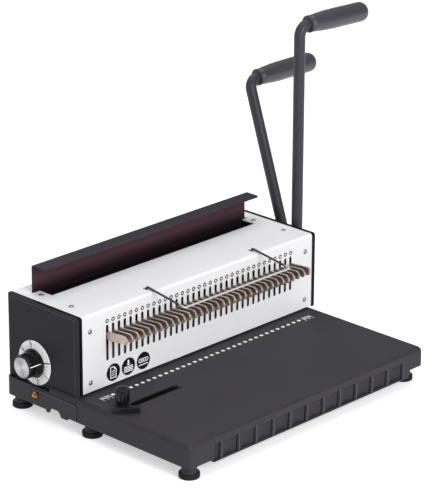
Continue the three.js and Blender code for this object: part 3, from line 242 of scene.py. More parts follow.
def spun(name, colour, roughness, centre):
    """Aluminium turned on a lathe: fine rings about a line along X through the centre, and a painted highlight:
    the base colour is lighter and darker by sectors round that line, in place of the conical reflections.
    """
    nodes = Nodes(name)
    across = nodes.maths("SUBTRACT", nodes.coordinate("Object", 1), centre.y)
    above = nodes.maths("SUBTRACT", nodes.coordinate("Object", 2), centre.z)
    squares = nodes.maths("ADD", nodes.maths("POWER", across, 2), nodes.maths("POWER", above, 2))
    reach = nodes.maths("SQRT", squares)
    inputs = {"W": reach, "Scale": 5200, "Detail": 3}
    rings = nodes.add("ShaderNodeTexNoise", inputs, noise_dimensions="1D").outputs["Fac"]
    # Painted highlight: lighter and darker sectors round the axis.
    turn = nodes.maths("MULTIPLY", nodes.maths("ARCTAN2", above, across), 2)
    highlight_sectors = nodes.spread(nodes.maths("COSINE", nodes.maths("ADD", turn, 0.6)), 0, 1, -1, 1)
    tone = nodes.mix(highlight_sectors, shade(colour, 0.62), shade(colour, 1.3))
    base = nodes.mix(nodes.spread(rings, 0, 0.5), tone, shade(colour))
    tangent = nodes.add("ShaderNodeTangent", direction_type="RADIAL", axis="X").outputs[0]
    return nodes.surface(
        Base_Color=base,
        Roughness=nodes.spread(rings, roughness - 0.05, roughness + 0.08),
        Metallic=1,
        Anisotropic=0.85,
        Tangent=tangent,
        Normal=nodes.bump(rings, 0.000015),
    )


def printed(name, colour, roughness=0.45):
    """Ink or film that lies on a panel: a little uneven, with pin-sized flecks."""
    nodes = Nodes(name)
    fleck = nodes.noise(1500, 2)
    base = nodes.mix(nodes.spread(fleck, 0, 0.25), shade(colour), shade(colour, 0.86))
    return nodes.surface(
        Base_Color=base,
        Roughness=nodes.spread(fleck, roughness - 0.05, roughness + 0.05),
        Specular_IOR_Level=0.12,
        Normal=nodes.bump(fleck, 0.00001),
    )


def rubber(name, colour):
    nodes = Nodes(name)
    dust = nodes.noise(260, 5, roughness=0.65)
    base = nodes.mix(nodes.spread(dust, 0, 0.4), shade(colour), shade(colour, 2))
    rough = nodes.spread(dust, 0.62, 0.82)
    return nodes.surface(
        Base_Color=base, Roughness=rough, Specular_IOR_Level=0.15, Normal=nodes.bump(dust, 0.00008)
    )


def wire(name, colour, dark_leg_colour, start, end):
    """Drawn steel wire, bright at the front and darker, rougher and less metallic towards the rear.
    The near-black colour of the legs is painted shade and reflection.
    """
    nodes = Nodes(name)
    rear = nodes.spread(nodes.coordinate("Object", 1), 0, 1, start, end)
    grain = nodes.noise(900, 3)
    wear_and_highlight = nodes.mix(nodes.spread(grain, 0, 0.3), shade(colour), shade(colour, 0.75))
    # Painted shade and reflection: the legs towards the rear are near-black.
    painted_dark_legs = nodes.mix(nodes.spread(grain, 0, 0.5), shade(dark_leg_colour), shade(dark_leg_colour, 1.5))
    return nodes.surface(
        Base_Color=nodes.mix(rear, wear_and_highlight, painted_dark_legs),
        Roughness=nodes.spread(rear, 0.2, 0.42, 0, 1),
        Metallic=nodes.spread(rear, 0.35, 1, 0, 1),
        Normal=nodes.bump(grain, 0.00001),
    )


def dark_sheet_with_painted_light(name, face_colour, top_colour, foot, clear):
    """Blackened steel sheet, red-brown on its upright faces and charcoal where it lies flat; this change of tone
    by facing is painted light and reflection, and streaks on the faces are painted reflection. Towards its foot
    the faces darken to nearly black, a painted shade. The heights say where it is darkest and where it is clear."""
    nodes = Nodes(name)
    height = nodes.coordinate("Object", 2)
    upward = nodes.coordinate("Normal", 2)
    # The streak noise gives streaks of painted reflection on the faces, and streaks of roughness.
    film = nodes.noise(55, 4, (0.15, 1, 1))
    fine = nodes.noise(900, 3)
    face = nodes.mix(nodes.spread(film), shade(face_colour, 0.82), shade(face_colour, 1.2))
    # Painted shade: the faces darken towards the foot.
    foot_shade = nodes.spread(height, 1, 0, foot, clear)
    face = nodes.mix(foot_shade, face, shade(face_colour, 0.22))
    # Painted light and reflection: faces that look up take the charcoal top colour.
    tone = nodes.mix(nodes.spread(upward, 0, 1, 0.2, 0.9), face, shade(top_colour))
    # Lighter edges: partly wear, partly painted highlight.
    wear_and_highlight = nodes.mix(nodes.maths("MULTIPLY", nodes.edges(0.0009), 0.4), tone, shade(top_colour, 2.4))
    return nodes.surface(
        Base_Color=wear_and_highlight,
        Roughness=nodes.spread(film, 0.3, 0.42),
        Specular_IOR_Level=0.05,
        Normal=nodes.bump(fine, 0.00003),
    )


# Materials: one for each slot of the record, and then the scene's own

dial_low, dial_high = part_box("dial_plate")
bail_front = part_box("wire_bail")[0].y
# Painted highlight on the edges, and painted shade in gaps, such as where the body meets the table and in the
# flutes.
coated(
    "table_plastic", (0.029, 0.027, 0.034), 0.55, 1500, 0.00006, 0.22, edge=2.6, edge_width=0.0016, gap=0.012
)
rubber("foot_rubber", (0.012, 0.012, 0.013))
metal("catch_brass", (0.5, 0.25, 0.07), 0.3)
metal("frame_zinc", (0.42, 0.43, 0.44), 0.42, (0.1, 1, 1))
coated("cover_white", (0.75, 0.745, 0.76), 0.36, 900, 0.00003, gloss=0.3, edge=1.08, mottle=0.012)
# Painted highlight: strongly lighter edges. Painted shade: darker sides that don't face along X, the lips.
coated(
    "panel_black", (0.025, 0.0235, 0.029), 0.5, 1100, 0.00005, gloss=0.08, edge=4, edge_width=0.0011, rim=0.12
)
metal("screw_zinc", (0.5, 0.5, 0.5), 0.32)
metal("die_steel", (0.5, 0.5, 0.5), 0.3, (0.05, 1, 1))
metal("shaft_steel", (0.46, 0.46, 0.47), 0.28, (1, 0.3, 0.3))
metal("bush_bronze", (0.5, 0.27, 0.1), 0.38)
metal("spring_steel", (0.3, 0.3, 0.31), 0.3)
coated("lever_black", (0.0315, 0.0295, 0.041), 0.4, 1100, 0.00005, gloss=0.3)
coated("grip_plastic", (0.03, 0.028, 0.039), 0.36, 1700, 0.00006, gloss=0.65)
dark_sheet_with_painted_light("press_black", (0.053, 0.028, 0.035), (0.026, 0.023, 0.034), cover_high.z, cover_high.z + 0.014)
# The gap darkens the hooks' sides between neighbours: painted shade.
metal("hook_steel", (0.56, 0.465, 0.4), 0.42, (1, 0.12, 1), 900, 0.00003, 0.2, gap=0.009)
wire("bail_steel", (0.62, 0.61, 0.6), (0.07, 0.07, 0.075), bail_front + 0.004, bail_front + 0.01)
printed("dial_white", (0.93, 0.93, 0.94), 0.4)
# Painted highlight: strongly lighter edges on the flutes.
coated("knob_plastic", (0.005, 0.005, 0.006), 0.22, 500, 0.00002, gloss=0.25, edge=6)
spun("cap_aluminium", (0.4, 0.4, 0.42), 0.26, (dial_low + dial_high) / 2)
ink_black = printed("ink_black", (0.006, 0.006, 0.007))
ink_white = printed("ink_white", (0.93, 0.93, 0.93))
# A lighter grey for edge lines: painted highlight, on the apron's lip, the drawer plate's edge and the end panels.
edge_highlight = coated("edge_highlight", (0.052, 0.048, 0.06), 0.45, 1500, 0.00004, gloss=0.25)
# A lighter grey for the apron's ribs: painted highlight.
rib_highlight = coated("rib_highlight", (0.062, 0.058, 0.072), 0.4, 1500, 0.00004, gloss=0.3)
# Painted highlight: strongly lighter edges.
guide_black = coated("guide_black", (0.009, 0.0085, 0.011), 0.35, 1100, 0.00004, gloss=0.15, edge=7)


# Mesh helpers. Geometry is gathered in a bmesh in the drawing frame and carried over at the end.

# The thickness of print, and the angle in degrees from which an edge counts as sharp
PRINT = 0.08
SHARP = 32


def axes(name):
    """Unit vectors of the plane and of the axis that a turned or extruded form lies along."""
    units = Matrix.Identity(3)
    place = "xyz".index(name)
    return units[(place + 1) % 3], units[(place + 2) % 3], units[place]


def bridge(bm, loops):
    """Faces between each loop of vertices and the next. A loop of one vertex is a point."""
    for first, second in zip(loops, loops[1:]):
        count = max(len(first), len(second))
        for k in range(count):
            after = (k + 1) % count
            corners = [first[k % len(first)], first[after % len(first)]]
            corners += [second[after % len(second)], second[k % len(second)]]
            bm.faces.new(list(dict.fromkeys(corners)))


def turned(bm, profile, centre, axis, sides, flutes=(0, 0), closed=False):
    """A form turned about an axis. The profile is [along, radius] points that start and end on the axis, or
    that close to a ring. Flutes are given by their number and their depth as a share of the radius."""
    u, v, w = axes(axis)
    count, depth = flutes
    loops = []
    for along, radius in profile:
        loop = []
        for k in range(sides if radius else 1):
            angle = 2 * math.pi * k / sides
            reach = radius * (1 - depth * (1 - abs(math.sin(count * angle / 2)) ** 0.6))
            ray = u * math.cos(angle) + v * math.sin(angle)
            loop.append(bm.verts.new(centre + w * along + ray * reach))
        loops.append(loop)
    bridge(bm, loops + loops[:1] if closed else loops)


def outline_at(bm, outline, axis, place):
    """Vertices of an outline of [u, v] points at a place on an axis."""
    u, v, w = axes(axis)
    return [bm.verts.new(u * a + v * b + w * place) for a, b in outline]


def prism(bm, outline, axis, start, end):
    """An outline of [u, v] points extruded between two places on an axis."""
    low = outline_at(bm, outline, axis, start)
    high = outline_at(bm, outline, axis, end)
    bridge(bm, [low, high])
    bm.faces.new(low[::-1])
    bm.faces.new(high)


def hollow_prism(bm, outer, inner, axis, start, end):
    """A closed wall between two outlines of as many points, from start to end along an axis."""
    corners = ((outer, start), (outer, end), (inner, end), (inner, start))
    loops = [outline_at(bm, outline, axis, place) for outline, place in corners]
    bridge(bm, loops + loops[:1])


def box(bm, x0, x1, y0, y1, z0, z1):
    prism(bm, [(x0, y0), (x1, y0), (x1, y1), (x0, y1)], "z", z0, z1)


def arc(u, v, radius, start, end, steps):
    """Points of an arc, from one angle to another in degrees."""
    points = []
    for k in range(steps + 1):
        angle = math.radians(start + (end - start) * k / steps)
        points.append((u + radius * math.cos(angle), v + radius * math.sin(angle)))
    return points


def circle(u, v, radius, sides):
    return arc(u, v, radius, 0, 360, sides)[:sides]


def stadium(u0, u1, v, half, steps):
    """The outline of a slot with round ends, from u0 to u1."""
    points = arc(v, u1 - half, half, 0, 180, steps) + arc(v, u0 + half, half, 180, 360, steps)
    return [(b, a) for a, b in points]


def rounded(u0, u1, v0, v1, radius, steps):
    """The outline of an oblong with round corners."""
    left, right, low, high = u0 + radius, u1 - radius, v0 + radius, v1 - radius
    points = []
    for k, (u, v) in enumerate(((right, high), (left, high), (left, low), (right, low))):
        points += arc(u, v, radius, 90 * k, 90 * k + 90, steps)
    return points


def ring(bm, u, v, outer, inner, axis, face):
    """A printed ring that lies on a face, towards the higher side of its axis."""
    sides = 24
    hollow_prism(bm, circle(u, v, outer, sides), circle(u, v, inner, sides), axis, face, face + PRINT)


def tube(bm, points, radius, sides):
    """A round bar or wire along points."""
    points = [Vector(point) for point in points]
    side = (points[1] - points[0]).orthogonal()
    loops = []
    for k, point in enumerate(points):
        direction = (points[min(k + 1, len(points) - 1)] - points[max(k - 1, 0)]).normalized()
        side = (side - direction * side.dot(direction)).normalized()
        other = direction.cross(side)
        loop = []
        for a, b in circle(0, 0, radius, sides):
            loop.append(bm.verts.new(point + side * a + other * b))
        loops.append(loop)
    bridge(bm, loops)
    bm.faces.new(loops[0][::-1])
    bm.faces.new(loops[-1])


def bent_route(corners, radius, steps):
    """Points along straight stretches whose inner corners are rounded."""
    corners = [Vector(corner) for corner in corners]
    points = [corners[0]]
    for before, here, after in zip(corners, corners[1:], corners[2:]):
        into = (here - before).normalized()
        out = (after - here).normalized()
        turn = into.angle(out)
        setback = radius * math.tan(turn / 2)
        start = here - into * setback
        axis = into.cross(out).normalized()
        centre = start + axis.cross(into) * radius
        for k in range(steps + 1):
            arm = Matrix.Rotation(turn * k / steps, 3, axis) @ (start - centre)
            points.append(centre + arm)
    points.append(corners[-1])
    return points


def to_object(name, bm, material):
    """Turns gathered geometry into an object in the frame of the part."""
    bmesh.ops.recalc_face_normals(bm, faces=bm.faces)
    bm.transform(Matrix.Translation(ORIGIN) @ Matrix.Scale(MM, 4))
    mesh = bpy.data.meshes.new(name)
    bm.to_mesh(mesh)
    bm.free()
    mesh.materials.append(material)
    return placed(name, mesh)


def carve(item, bm, operation="DIFFERENCE"):
    """Cuts gathered geometry out of an object, or joins it to it."""
    cutter = to_object("cutter", bm, item.data.materials[0])
    change = item.modifiers.new("carve", "BOOLEAN")
    change.operation = operation
    change.solver = "EXACT"
    change.use_self = True
    change.object = cutter
    settle(item)
    bpy.data.objects.remove(cutter)


def settle(item):
    """Applies an object's modifiers."""
    bpy.context.view_layer.update()
    made = bpy.data.meshes.new_from_object(item.evaluated_get(bpy.context.evaluated_depsgraph_get()))
    item.modifiers.clear()
    old = item.data
    item.data = made
    bpy.data.meshes.remove(old)


def soften(item, width, steps):
    """Rounds the sharp edges and shades the rest smooth."""
    bm = bmesh.new()
    bm.from_mesh(item.data)
    bmesh.ops.remove_doubles(bm, verts=bm.verts, dist=0.002 * MM)
    bmesh.ops.dissolve_limit(bm, angle_limit=math.radians(0.4), verts=bm.verts, edges=bm.edges)
    for face in bm.faces:
        face.smooth = True
    bm.to_mesh(item.data)
    bm.free()
    change = item.modifiers.new("soften", "BEVEL")
    change.width = width * MM
    change.segments = steps
    change.limit_method = "ANGLE"
    change.angle_limit = math.radians(SHARP)
    change.miter_outer = "MITER_ARC"
    flat = item.modifiers.new("flat", "WEIGHTED_NORMAL")
    flat.mode = "FACE_AREA"
    flat.weight = 100
    settle(item)
    return item


def crease(item, angle=SHARP):
    """Shades an object smooth, except at edges sharper than the angle."""
    bm = bmesh.new()
    bm.from_mesh(item.data)
    for face in bm.faces:
        face.smooth = True
    for edge in bm.edges:
        edge.smooth = len(edge.link_faces) == 2 and edge.calc_face_angle() < math.radians(angle)
    bm.to_mesh(item.data)
    bm.free()
    return item


def stands(item, body, slot, *nodes):
    """The piece rides on a body and stands for CAD nodes; the slot is not used."""
    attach(item, body)
    if nodes:
        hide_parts(*nodes)


def piece(name, bm, body, slot, *nodes, material=None, angle=None):
    """Gathered geometry as a piece that stands, in the slot's finish or a material of its own. It is shaded
    smooth up to edges of the angle, and flat without one."""
    item = to_object(name, bm, material or materials[slot])
    if angle:
        crease(item, angle)
    stands(item, body, slot, *nodes)


def refined(node, name, body, slot, width, steps, material=None):
    """A CAD node's own form with its edges rounded, under a name of its own."""
    item = placed(name, frame["nodes"][node].data.copy())
    item.data.materials.clear()
    item.data.materials.append(material or materials[slot])
    soften(item, width, steps)
    stands(item, body, slot, node)


# Base tray: table, apron with flutes, bay for the chip tray and the slot of the side guide


def make_slot_pocket():
    """A moulded pocket under the side guide's slot, in which the bolt's head runs. Its near-black ink is painted
    shade in the hollow.
    """
    low, high = span("guide_bolt")
    slide = next(joint for joint in frame["joints"] if joint["name"] == "guide_slide")
    play = 0.9
    wall = 1.2
    corner = 1.3
    x0 = low.x + slide["range_m"][0] / MM - play
    x1 = high.x + slide["range_m"][1] / MM + play
    y0 = low.y - play
    y1 = high.y + play
    floor = low.z - play
    roof = -3
    bm = bmesh.new()
    outline = rounded(x0 - wall, x1 + wall, y0 - wall, y1 + wall, corner + wall, 5)
    prism(bm, outline, "z", floor - wall, roof)
    item = to_object("slot_pocket", bm, ink_black)
    hollow = bmesh.new()
    prism(hollow, rounded(x0, x1, y0, y1, corner, 5), "z", floor, roof + 1)
    carve(item, hollow)
    crease(item)
    stands(item, "frame", "panel_black")


def make_slot_edge():
    """A dark border round the side guide's slot, and a dark strip down its wall: painted shade at the slot."""
    middle = sum(corner.y for corner in span("guide_bolt")) / 2
    left = -176
    right = -87
    half = 4

    def slot(inset):
        return stadium(left + inset, right - inset, middle, half - inset, 12)

    border = bmesh.new()
    outline = rounded(left - 1.2, right + 1.2, middle - half - 1.3, middle + half + 1.3, 1.2, 7)
    prism(border, outline, "z", 0, PRINT)
    item = to_object("slot_edge", border, ink_black)
    hole = bmesh.new()
    prism(hole, slot(0.25), "z", -1, 1)
    carve(item, hole)
    stands(item, "frame", "table_plastic")
    lining = bmesh.new()
    hollow_prism(lining, slot(0.03), slot(0.25), "z", -2.98, -0.02)
    piece("slot_wall", lining, "frame", "table_plastic", material=ink_black)


def make_apron():
    """A lip that closes the flutes at the apron's foot, ribs between them and dark strips beside the ribs.
    The lip and the ribs are in lighter greys as painted highlights, and the dark strips are painted shadows.
    """
    low, high = span("base_tray")
    left = low.x + 36
    right = high.x - 24
    front = low.y
    depth = 6.9
    thickness = 1.1
    chamfer = 0.3
    outline = [(front + chamfer, low.z), (front + depth, low.z), (front + depth, low.z + thickness)]
    outline += [(front + chamfer, low.z + thickness), (front, low.z + thickness - chamfer)]
    outline += [(front, low.z + chamfer)]
    lip = bmesh.new()
    prism(lip, outline, "x", left, right)
    # The lip in a lighter grey: painted highlight.
    stands(soften(to_object("apron_lip", lip, edge_highlight), 0.2, 2), "frame", "table_plastic")
    rib_pitch = 25.55
    rib_radius = 1.05
    shadow_radius = 1.4
    foot = low.z + 1
    ribs = bmesh.new()
    rib_shadows = bmesh.new()
    x = right - 8.4
    while x > left:
        rib_y = front + rib_radius
        shadow_y = front + 2
        tube(ribs, [(x, rib_y, foot), (x, rib_y, -8.4)], rib_radius, 16)
        # Painted shadow beside each rib.
        tube(rib_shadows, [(x - 2.5, shadow_y, foot), (x - 1.8, shadow_y, -9)], shadow_radius, 16)
        x -= rib_pitch
    piece("apron_ribs", ribs, "frame", "table_plastic", material=rib_highlight, angle=SHARP)
    piece("apron_rib_shadows", rib_shadows, "frame", "table_plastic", material=guide_black, angle=SHARP)


def make_drawer_seam():
    """A dark strip round the chip tray's end plate, a painted shade of the seam, and a light strip along the
    plate's own edge, a painted highlight.
    """
    face = span("base_tray")[0].x - 0.06
    low, high = span("chip_tray")
    foot = -25.9
    gap = 0.4
    width = 1.3
    front = low.y - gap
    top = high.z + gap
    seam = bmesh.new()
    box(seam, face, face + 0.4, front - width, front, foot, top + width)
    box(seam, face, face + 0.4, front, high.y, top, top + width)
    piece("drawer_seam", seam, "frame", "table_plastic", material=ink_black)
    near = 0.2
    far = 1.3
    strip = bmesh.new()
    box(strip, face, face + 0.3, low.y + near, low.y + far, foot + near, high.z - near)
    box(strip, face, face + 0.3, low.y + far, high.y - near, high.z - far, high.z - near)
    piece("drawer_border", strip, "chip_tray", "table_plastic", material=edge_highlight)


def make_catch():
    """The brass catch on the chip tray's end plate: a thin neck and a round head."""
    low, high = span("tray_catch")
    length = high.x - low.x
    radius = (high.y - low.y) / 2
    shares = [(-0.5, 0), (-0.5, 0.45), (-0.4, 0.6), (0.2, 0.6), (0.24, 1), (0.42, 1), (0.5, 0.9), (0.5, 0)]
    bm = bmesh.new()
    turned(bm, [(length * along, radius * reach) for along, reach in shares], (low + high) / 2, "x", 32)
    piece("drawer_catch", bm, "chip_tray", "catch_brass", "tray_catch", angle=SHARP)


def make_foot(node):
    """A rubber disc with a grooved sole, on a moulded pillar of the tray."""
    low, high = span(node)
    radius = (high.x - low.x) / 2 * 1.045
    centre = Vector((*(low + high).xy / 2, low.z))
    height = high.z - low.z
    neck = radius * 0.74
    rim = height * 0.42
    groove = 0.8
    low_round = 0.9
    high_round = 1.4
    sole = [(0, 0), (0, radius * 0.45), (groove, radius * 0.5), (groove, radius * 0.62)]
    sole += [(0, radius * 0.68), (0, radius * 0.93)]
    edge = arc(radius - low_round, groove, low_round, -60, 0, 3)
    edge += arc(radius - high_round, rim - high_round, high_round, 0, 90, 5)
    sole += [(rise, reach) for reach, rise in edge] + [(rim, 0)]
    bm = bmesh.new()
    turned(bm, sole, centre, "z", 48)
    piece(f"rubber_{node}", bm, "frame", "foot_rubber", node, angle=40)
    pillar = [(rim + 0.02, 0), (rim + 0.02, neck + 1), (rim + 0.3, neck + 0.4), (rim + 1.1, neck)]
    pillar += [(height - 0.5, neck * 0.97), (height, neck + 0.3), (height, 0)]
    bm = bmesh.new()
    turned(bm, pillar, centre, "z", 48)
    piece(f"pillar_{node}", bm, "frame", "table_plastic", angle=40)


# Cover: one bent sheet with slots, and what is printed on it

SHEET = 1.1
BEND = 3
SLOTS = 34
SLOT_PITCH = 8.4667
SLOT_LOW = 30
SLOT_HIGH = 70
SLOT_HALF = 1.65
SLOT_PLACES = [(k - (SLOTS - 1) / 2) * SLOT_PITCH for k in range(SLOTS)]
# Where the bail's arms come out of the top
BAIL_ARMS = (-71.7, 89)


def slot_outline(x, inset):
    """A slot's outline as [z, x] points, drawn in by an inset."""
    return stadium(SLOT_LOW + inset, SLOT_HIGH - inset, x, SLOT_HALF - inset, 8)


def make_cover():
    low, high = span("cover")
    profile = [(0, low.z), (SHEET, low.z)]
    profile += arc(BEND, high.z - BEND, BEND - SHEET, 180, 90, 10)
    profile += [(high.y, high.z - SHEET), (high.y, high.z)]
    profile += arc(BEND, high.z - BEND, BEND, 90, 180, 10)
    bm = bmesh.new()
    prism(bm, profile, "x", low.x, high.x)
    item = to_object("white_cover", bm, materials["cover_white"])
    press_low, press_high = span("press_plate")
    channel_half = 153.5
    channel_front = 68.5
    under = high.z - 4
    over = high.z + 1
    slots = bmesh.new()
    for x in SLOT_PLACES:
        prism(slots, slot_outline(x, 0), "y", -1, SHEET + 1)
    box(slots, -channel_half, channel_half, channel_front, press_high.y + 0.35, under, over)
    carve(item, slots)
    web_front = 87.4
    web_rear = 91.3
    bail_half = 1.7
    bail_front = 9.3
    bail_rear = 16.1
    holes = bmesh.new()
    box(holes, press_low.x - 0.3, press_high.x + 0.3, web_front, web_rear, under - 0.2, over + 0.2)
    for x in BAIL_ARMS:
        box(holes, x - bail_half, x + bail_half, bail_front, bail_rear, under, over)
    carve(item, holes)
    soften(item, 0.22, 2)
    stands(item, "frame", "cover_white", "cover")


def make_slot_wall_shade():
    """A dark strip round the inside of each slot, as deep as the sheet: painted shade on the slot walls."""
    bm = bmesh.new()
    for x in SLOT_PLACES:
        hollow_prism(bm, slot_outline(x, 0.02), slot_outline(x, 0.2), "y", 0.03, SHEET - 0.06)
    piece("slot_wall_shade", bm, "frame", "cover_white", material=ink_black)


DISC_HEIGHT = 14.2
SIGN_SCALE = 1.3


def make_panel_print():
    """Thin rings over the slots, and three dark discs with plain pictograms."""
    rings = bmesh.new()
    for x in SLOT_PLACES:
        ring(rings, 74.2, x, 2.4, 1.2, "y", -PRINT)
    piece("slot_rings", rings, "frame", "cover_white", material=ink_black)
    discs = bmesh.new()
    signs = bmesh.new()
    for x, sign in ((-131.6, sheet_sign), (-109.8, stack_sign), (-87.9, coil_sign)):
        prism(discs, circle(DISC_HEIGHT, x, 9.7, 48), "y", -PRINT, 0)
        sign(signs, x)
    piece("panel_discs", discs, "frame", "cover_white", material=ink_black)
    piece("panel_signs", signs, "frame", "cover_white", material=ink_white)


def white_form(bm, x, outline):
    """A flat white form on the disc at x, from [x, z] points about the disc's middle."""
    points = [(DISC_HEIGHT + b * SIGN_SCALE, x + a * SIGN_SCALE) for a, b in outline]
    prism(bm, points, "y", -2 * PRINT, -PRINT)


def white_bars(bm, x, bars):
    """White oblongs on the disc at x, each from its left, right, low and high edge."""
    for left, right, low, high in bars:
        white_form(bm, x, [(left, low), (right, low), (right, high), (left, high)])


def sheet_sign(bm, x):
    """A sheet of paper with a folded corner and three lines."""
    white_bars(bm, x, [(-3.4, -2.6, -5, 5), (-2.6, 0.8, 4.2, 5)])
    white_bars(bm, x, [(-2.6, 3.4, -5, -4.2), (2.6, 3.4, -4.2, 2.4)])
    white_form(bm, x, [(0.8, 5), (0.8, 2.4), (3.4, 2.4)])
    white_bars(bm, x, [(-1.7, 1.7, level - 0.3, level + 0.3) for level in (-2.4, -0.6, 1.2)])


def stack_sign(bm, x):
    """A stack of sheets under a punch."""
    white_bars(bm, x, [(-5, 5, level, level + 0.8) for level in (-4.6, -3.2, -1.8, -0.4)])
    white_bars(bm, x, [(-0.9, 0.9, 2.4, 5.6)])
    white_form(bm, x, [(-2.1, 2.7), (0, 0.9), (2.1, 2.7)])


def coil_sign(bm, x):
    """Loops of a wire along a sheet's edge."""
    white_bars(bm, x, [(-5.2, 5.2, -3.6, -2.8)])
    height = DISC_HEIGHT + 0.6 * SIGN_SCALE
    for place in (-3.6, -1.2, 1.2, 3.6):
        ring(bm, height, x + place * SIGN_SCALE, 1.9 * SIGN_SCALE, 1.2 * SIGN_SCALE, "y", -2 * PRINT)


def make_table_marks():
    """A row of dots on the table along the cover, and a group of ticks beyond each end of it."""
    first = -149.5
    last = 135.3
    bm = bmesh.new()
    for k in range(SLOTS):
        x = first + k * (last - first) / (SLOTS - 1)
        prism(bm, rounded(x - 2.15, x + 2.15, -20, -15.8, 1.9, 4), "z", 0, PRINT)
    rear = -15.3
    half = 0.3
    tick_pitch = 1.5
    for side, start in ((-1, -154.5), (1, 141.5)):
        for k in range(9):
            x = start + side * tick_pitch * k
            length = 9 if k % 4 == 0 else 5.5
            box(bm, x - half, x + half, rear - length, rear, 0, PRINT)
    piece("table_marks", bm, "frame", "table_plastic", material=ink_white)


# End panels, back cover and screws


def make_end_panels():
    """The end panels with rounded edges, and on each a thin raised strip in a lighter grey along the front and
    the top: a painted highlight line.
    """
    width = 0.6
    proud = 0.12
    for side in ("left", "right"):
        node = f"end_panel_{side}"
        name = f"{side}_end_panel"
        refined(node, name, "frame", "panel_black", 1.3, 4)
        low, high = span(node)
        face = low.x if side == "left" else high.x
        front = low.y + 6.8
        top = high.z - 3.2
        highlight_strip = bmesh.new()
        box(highlight_strip, face - proud, face + proud, front - width, front, low.z + 2.5, top)
        box(highlight_strip, face - proud, face + proud, front, high.y - 3, top - width, top)
        piece(f"{name}_bead", highlight_strip, "frame", "panel_black", material=edge_highlight)
    refined("back_cover", "rear_cover", "frame", "panel_black", 0.3, 2)


def make_screw(node, axis):
    """A pan-head screw with a cross recess, its head towards -Y or +Z, on a thin dark ring of painted shadow."""
    low, high = span(node)
    radius = (high.x - low.x) / 2
    top = (low + high) / 2
    if axis == "y":
        outward = -1
        top.y = low.y
        face = -PRINT
    else:
        outward = 1
        top.z = high.z
        face = span("cover")[1].z
    shares = [(0, 0), (0, 0.55), (-0.15, 0.8), (-0.4, 0.94), (-0.62, 1), (-0.8, 1)]
    shares += [(-0.8, 0.55), (-2.1, 0.55), (-2.1, 0)]
    bm = bmesh.new()
    turned(bm, [(outward * along, radius * reach) for along, reach in shares], top, axis, 32)
    item = to_object(node.replace("cover_screw", "screw"), bm, materials["screw_zinc"])
    u, v, w = [top.dot(unit) for unit in axes(axis)]
    cross = bmesh.new()
    for a, b in ((1.6, 0.45), (0.45, 1.6)):
        corners = [(u - a, v - b), (u + a, v - b), (u + a, v + b), (u - a, v + b)]
        prism(cross, corners, axis, w + outward * 0.3, w - outward * 0.7)
    carve(item, cross)
    crease(item, 40)
    stands(item, "frame", "screw_zinc", node)
    # Painted shadow round the head.
    shadow_ring = bmesh.new()
    ring(shadow_ring, u, v, radius * 1.16, radius * 0.9, axis, face)
    piece(node.replace("cover_screw", "shadow_ring"), shadow_ring, "frame", "cover_white", material=ink_black)


# Press plate, comb of hooks and bail


def make_press_plate():
    """The press plate: a web with a bent flange, notched at its right end, on a broader foot. The fixed jaw stands
    in front of it, in near-black ink as painted shade in the channel."""
    low, high = span("press_plate")
    thickness = 2.5
    bend = 3.2
    flange = 19.2
    knee = 83
    half = 162
    inside = high.y - thickness
    front = high.y - flange
    outline = [(inside, knee), (high.y, knee)]
    outline += arc(high.y - bend, high.z - bend, bend, 0, 90, 8)
    outline += [(front, high.z), (front, high.z - thickness)]
    outline += arc(high.y - bend, high.z - bend, bend - thickness, 90, 0, 4)
    bm = bmesh.new()
    prism(bm, outline, "x", -half, half)
    item = to_object("closing_press", bm, materials["press_black"])
    notch = bmesh.new()
    box(notch, half - 3.5, half + 1, inside - 1, high.y + 1, knee - 1, high.z - bend)
    carve(item, notch)
    foot = bmesh.new()
    box(foot, low.x, high.x, inside, high.y, low.z, knee + 0.5)
    carve(item, foot, "UNION")
    soften(item, 0.35, 3)
    stands(item, "press", "press_black", "press_plate")
    refined("anvil", "fixed_jaw", "frame", "press_black", 0.3, 2, ink_black)


def hook_outline():
    """One hook from the side as [y, z] points: a flat finger with a rounded, slightly dropped tip."""
    tip = -29.5
    low_round = 3.6
    high_round = 4.9
    lower = [(5, 54), (-10, 54.1), (-19, 54.9), (-21.5, 56.2), (-23.2, 55.3)]
    lower += arc(tip + low_round, 58.6, low_round, 262, 182, 6)
    upper = arc(tip + high_round, 59.4, high_round, 176, 92, 7)
    upper += [(-21, 64.1), (-12, 63.3), (5, 61.9)]
    return lower + upper


def make_comb():
    """The hooks, and behind the panel the bar that carries them."""
    bar = bmesh.new()
    box(bar, -163, 163, 5, 9, 50, 66)
    carrier = soften(to_object("comb_carrier", bar, materials["press_black"]), 0.4, 2)
    stands(carrier, "hook_comb", "press_black")
    half = 1.25
    bm = bmesh.new()
    for x in SLOT_PLACES:
        prism(bm, hook_outline(), "x", x - half, x + half)
    item = to_object("hooks", bm, materials["hook_steel"])
    change = item.modifiers.new("soften", "BEVEL")
    change.width = 0.35 * MM
    change.segments = 2
    change.angle_limit = math.radians(SHARP)
    change.harden_normals = True
    for face in item.data.polygons:
        face.use_smooth = True
    settle(item)
    stands(item, "hook_comb", "hook_steel", "hook_comb")


def make_bail():
    """The bail's wire: its ends under the top, an arm over the edge on each side, and the front bar."""
    pivot = (11, 84.4)
    shoulder = (11, 90.4)
    front = (-45.5, 82.2)
    left, right = BAIL_ARMS
    stub = 7
    corners = [(left - stub, pivot), (left, pivot), (left, shoulder), (left, front)]
    corners += [(right, front), (right, shoulder), (right, pivot), (right + stub, pivot)]
    bm = bmesh.new()
    tube(bm, bent_route([(x, *place) for x, place in corners], 2, 8), 1.15, 16)
    piece("bail", bm, "wire_bail", "bail_steel", "wire_bail", angle=50)


# Levers

BAR_BEND = 12
BAR_RADIUS = 6.3
BORE = BAR_RADIUS + 0.15


def grip_start(droop):
    return BAR_BEND * math.tan(math.radians((90 + droop) / 2)) + 0.3


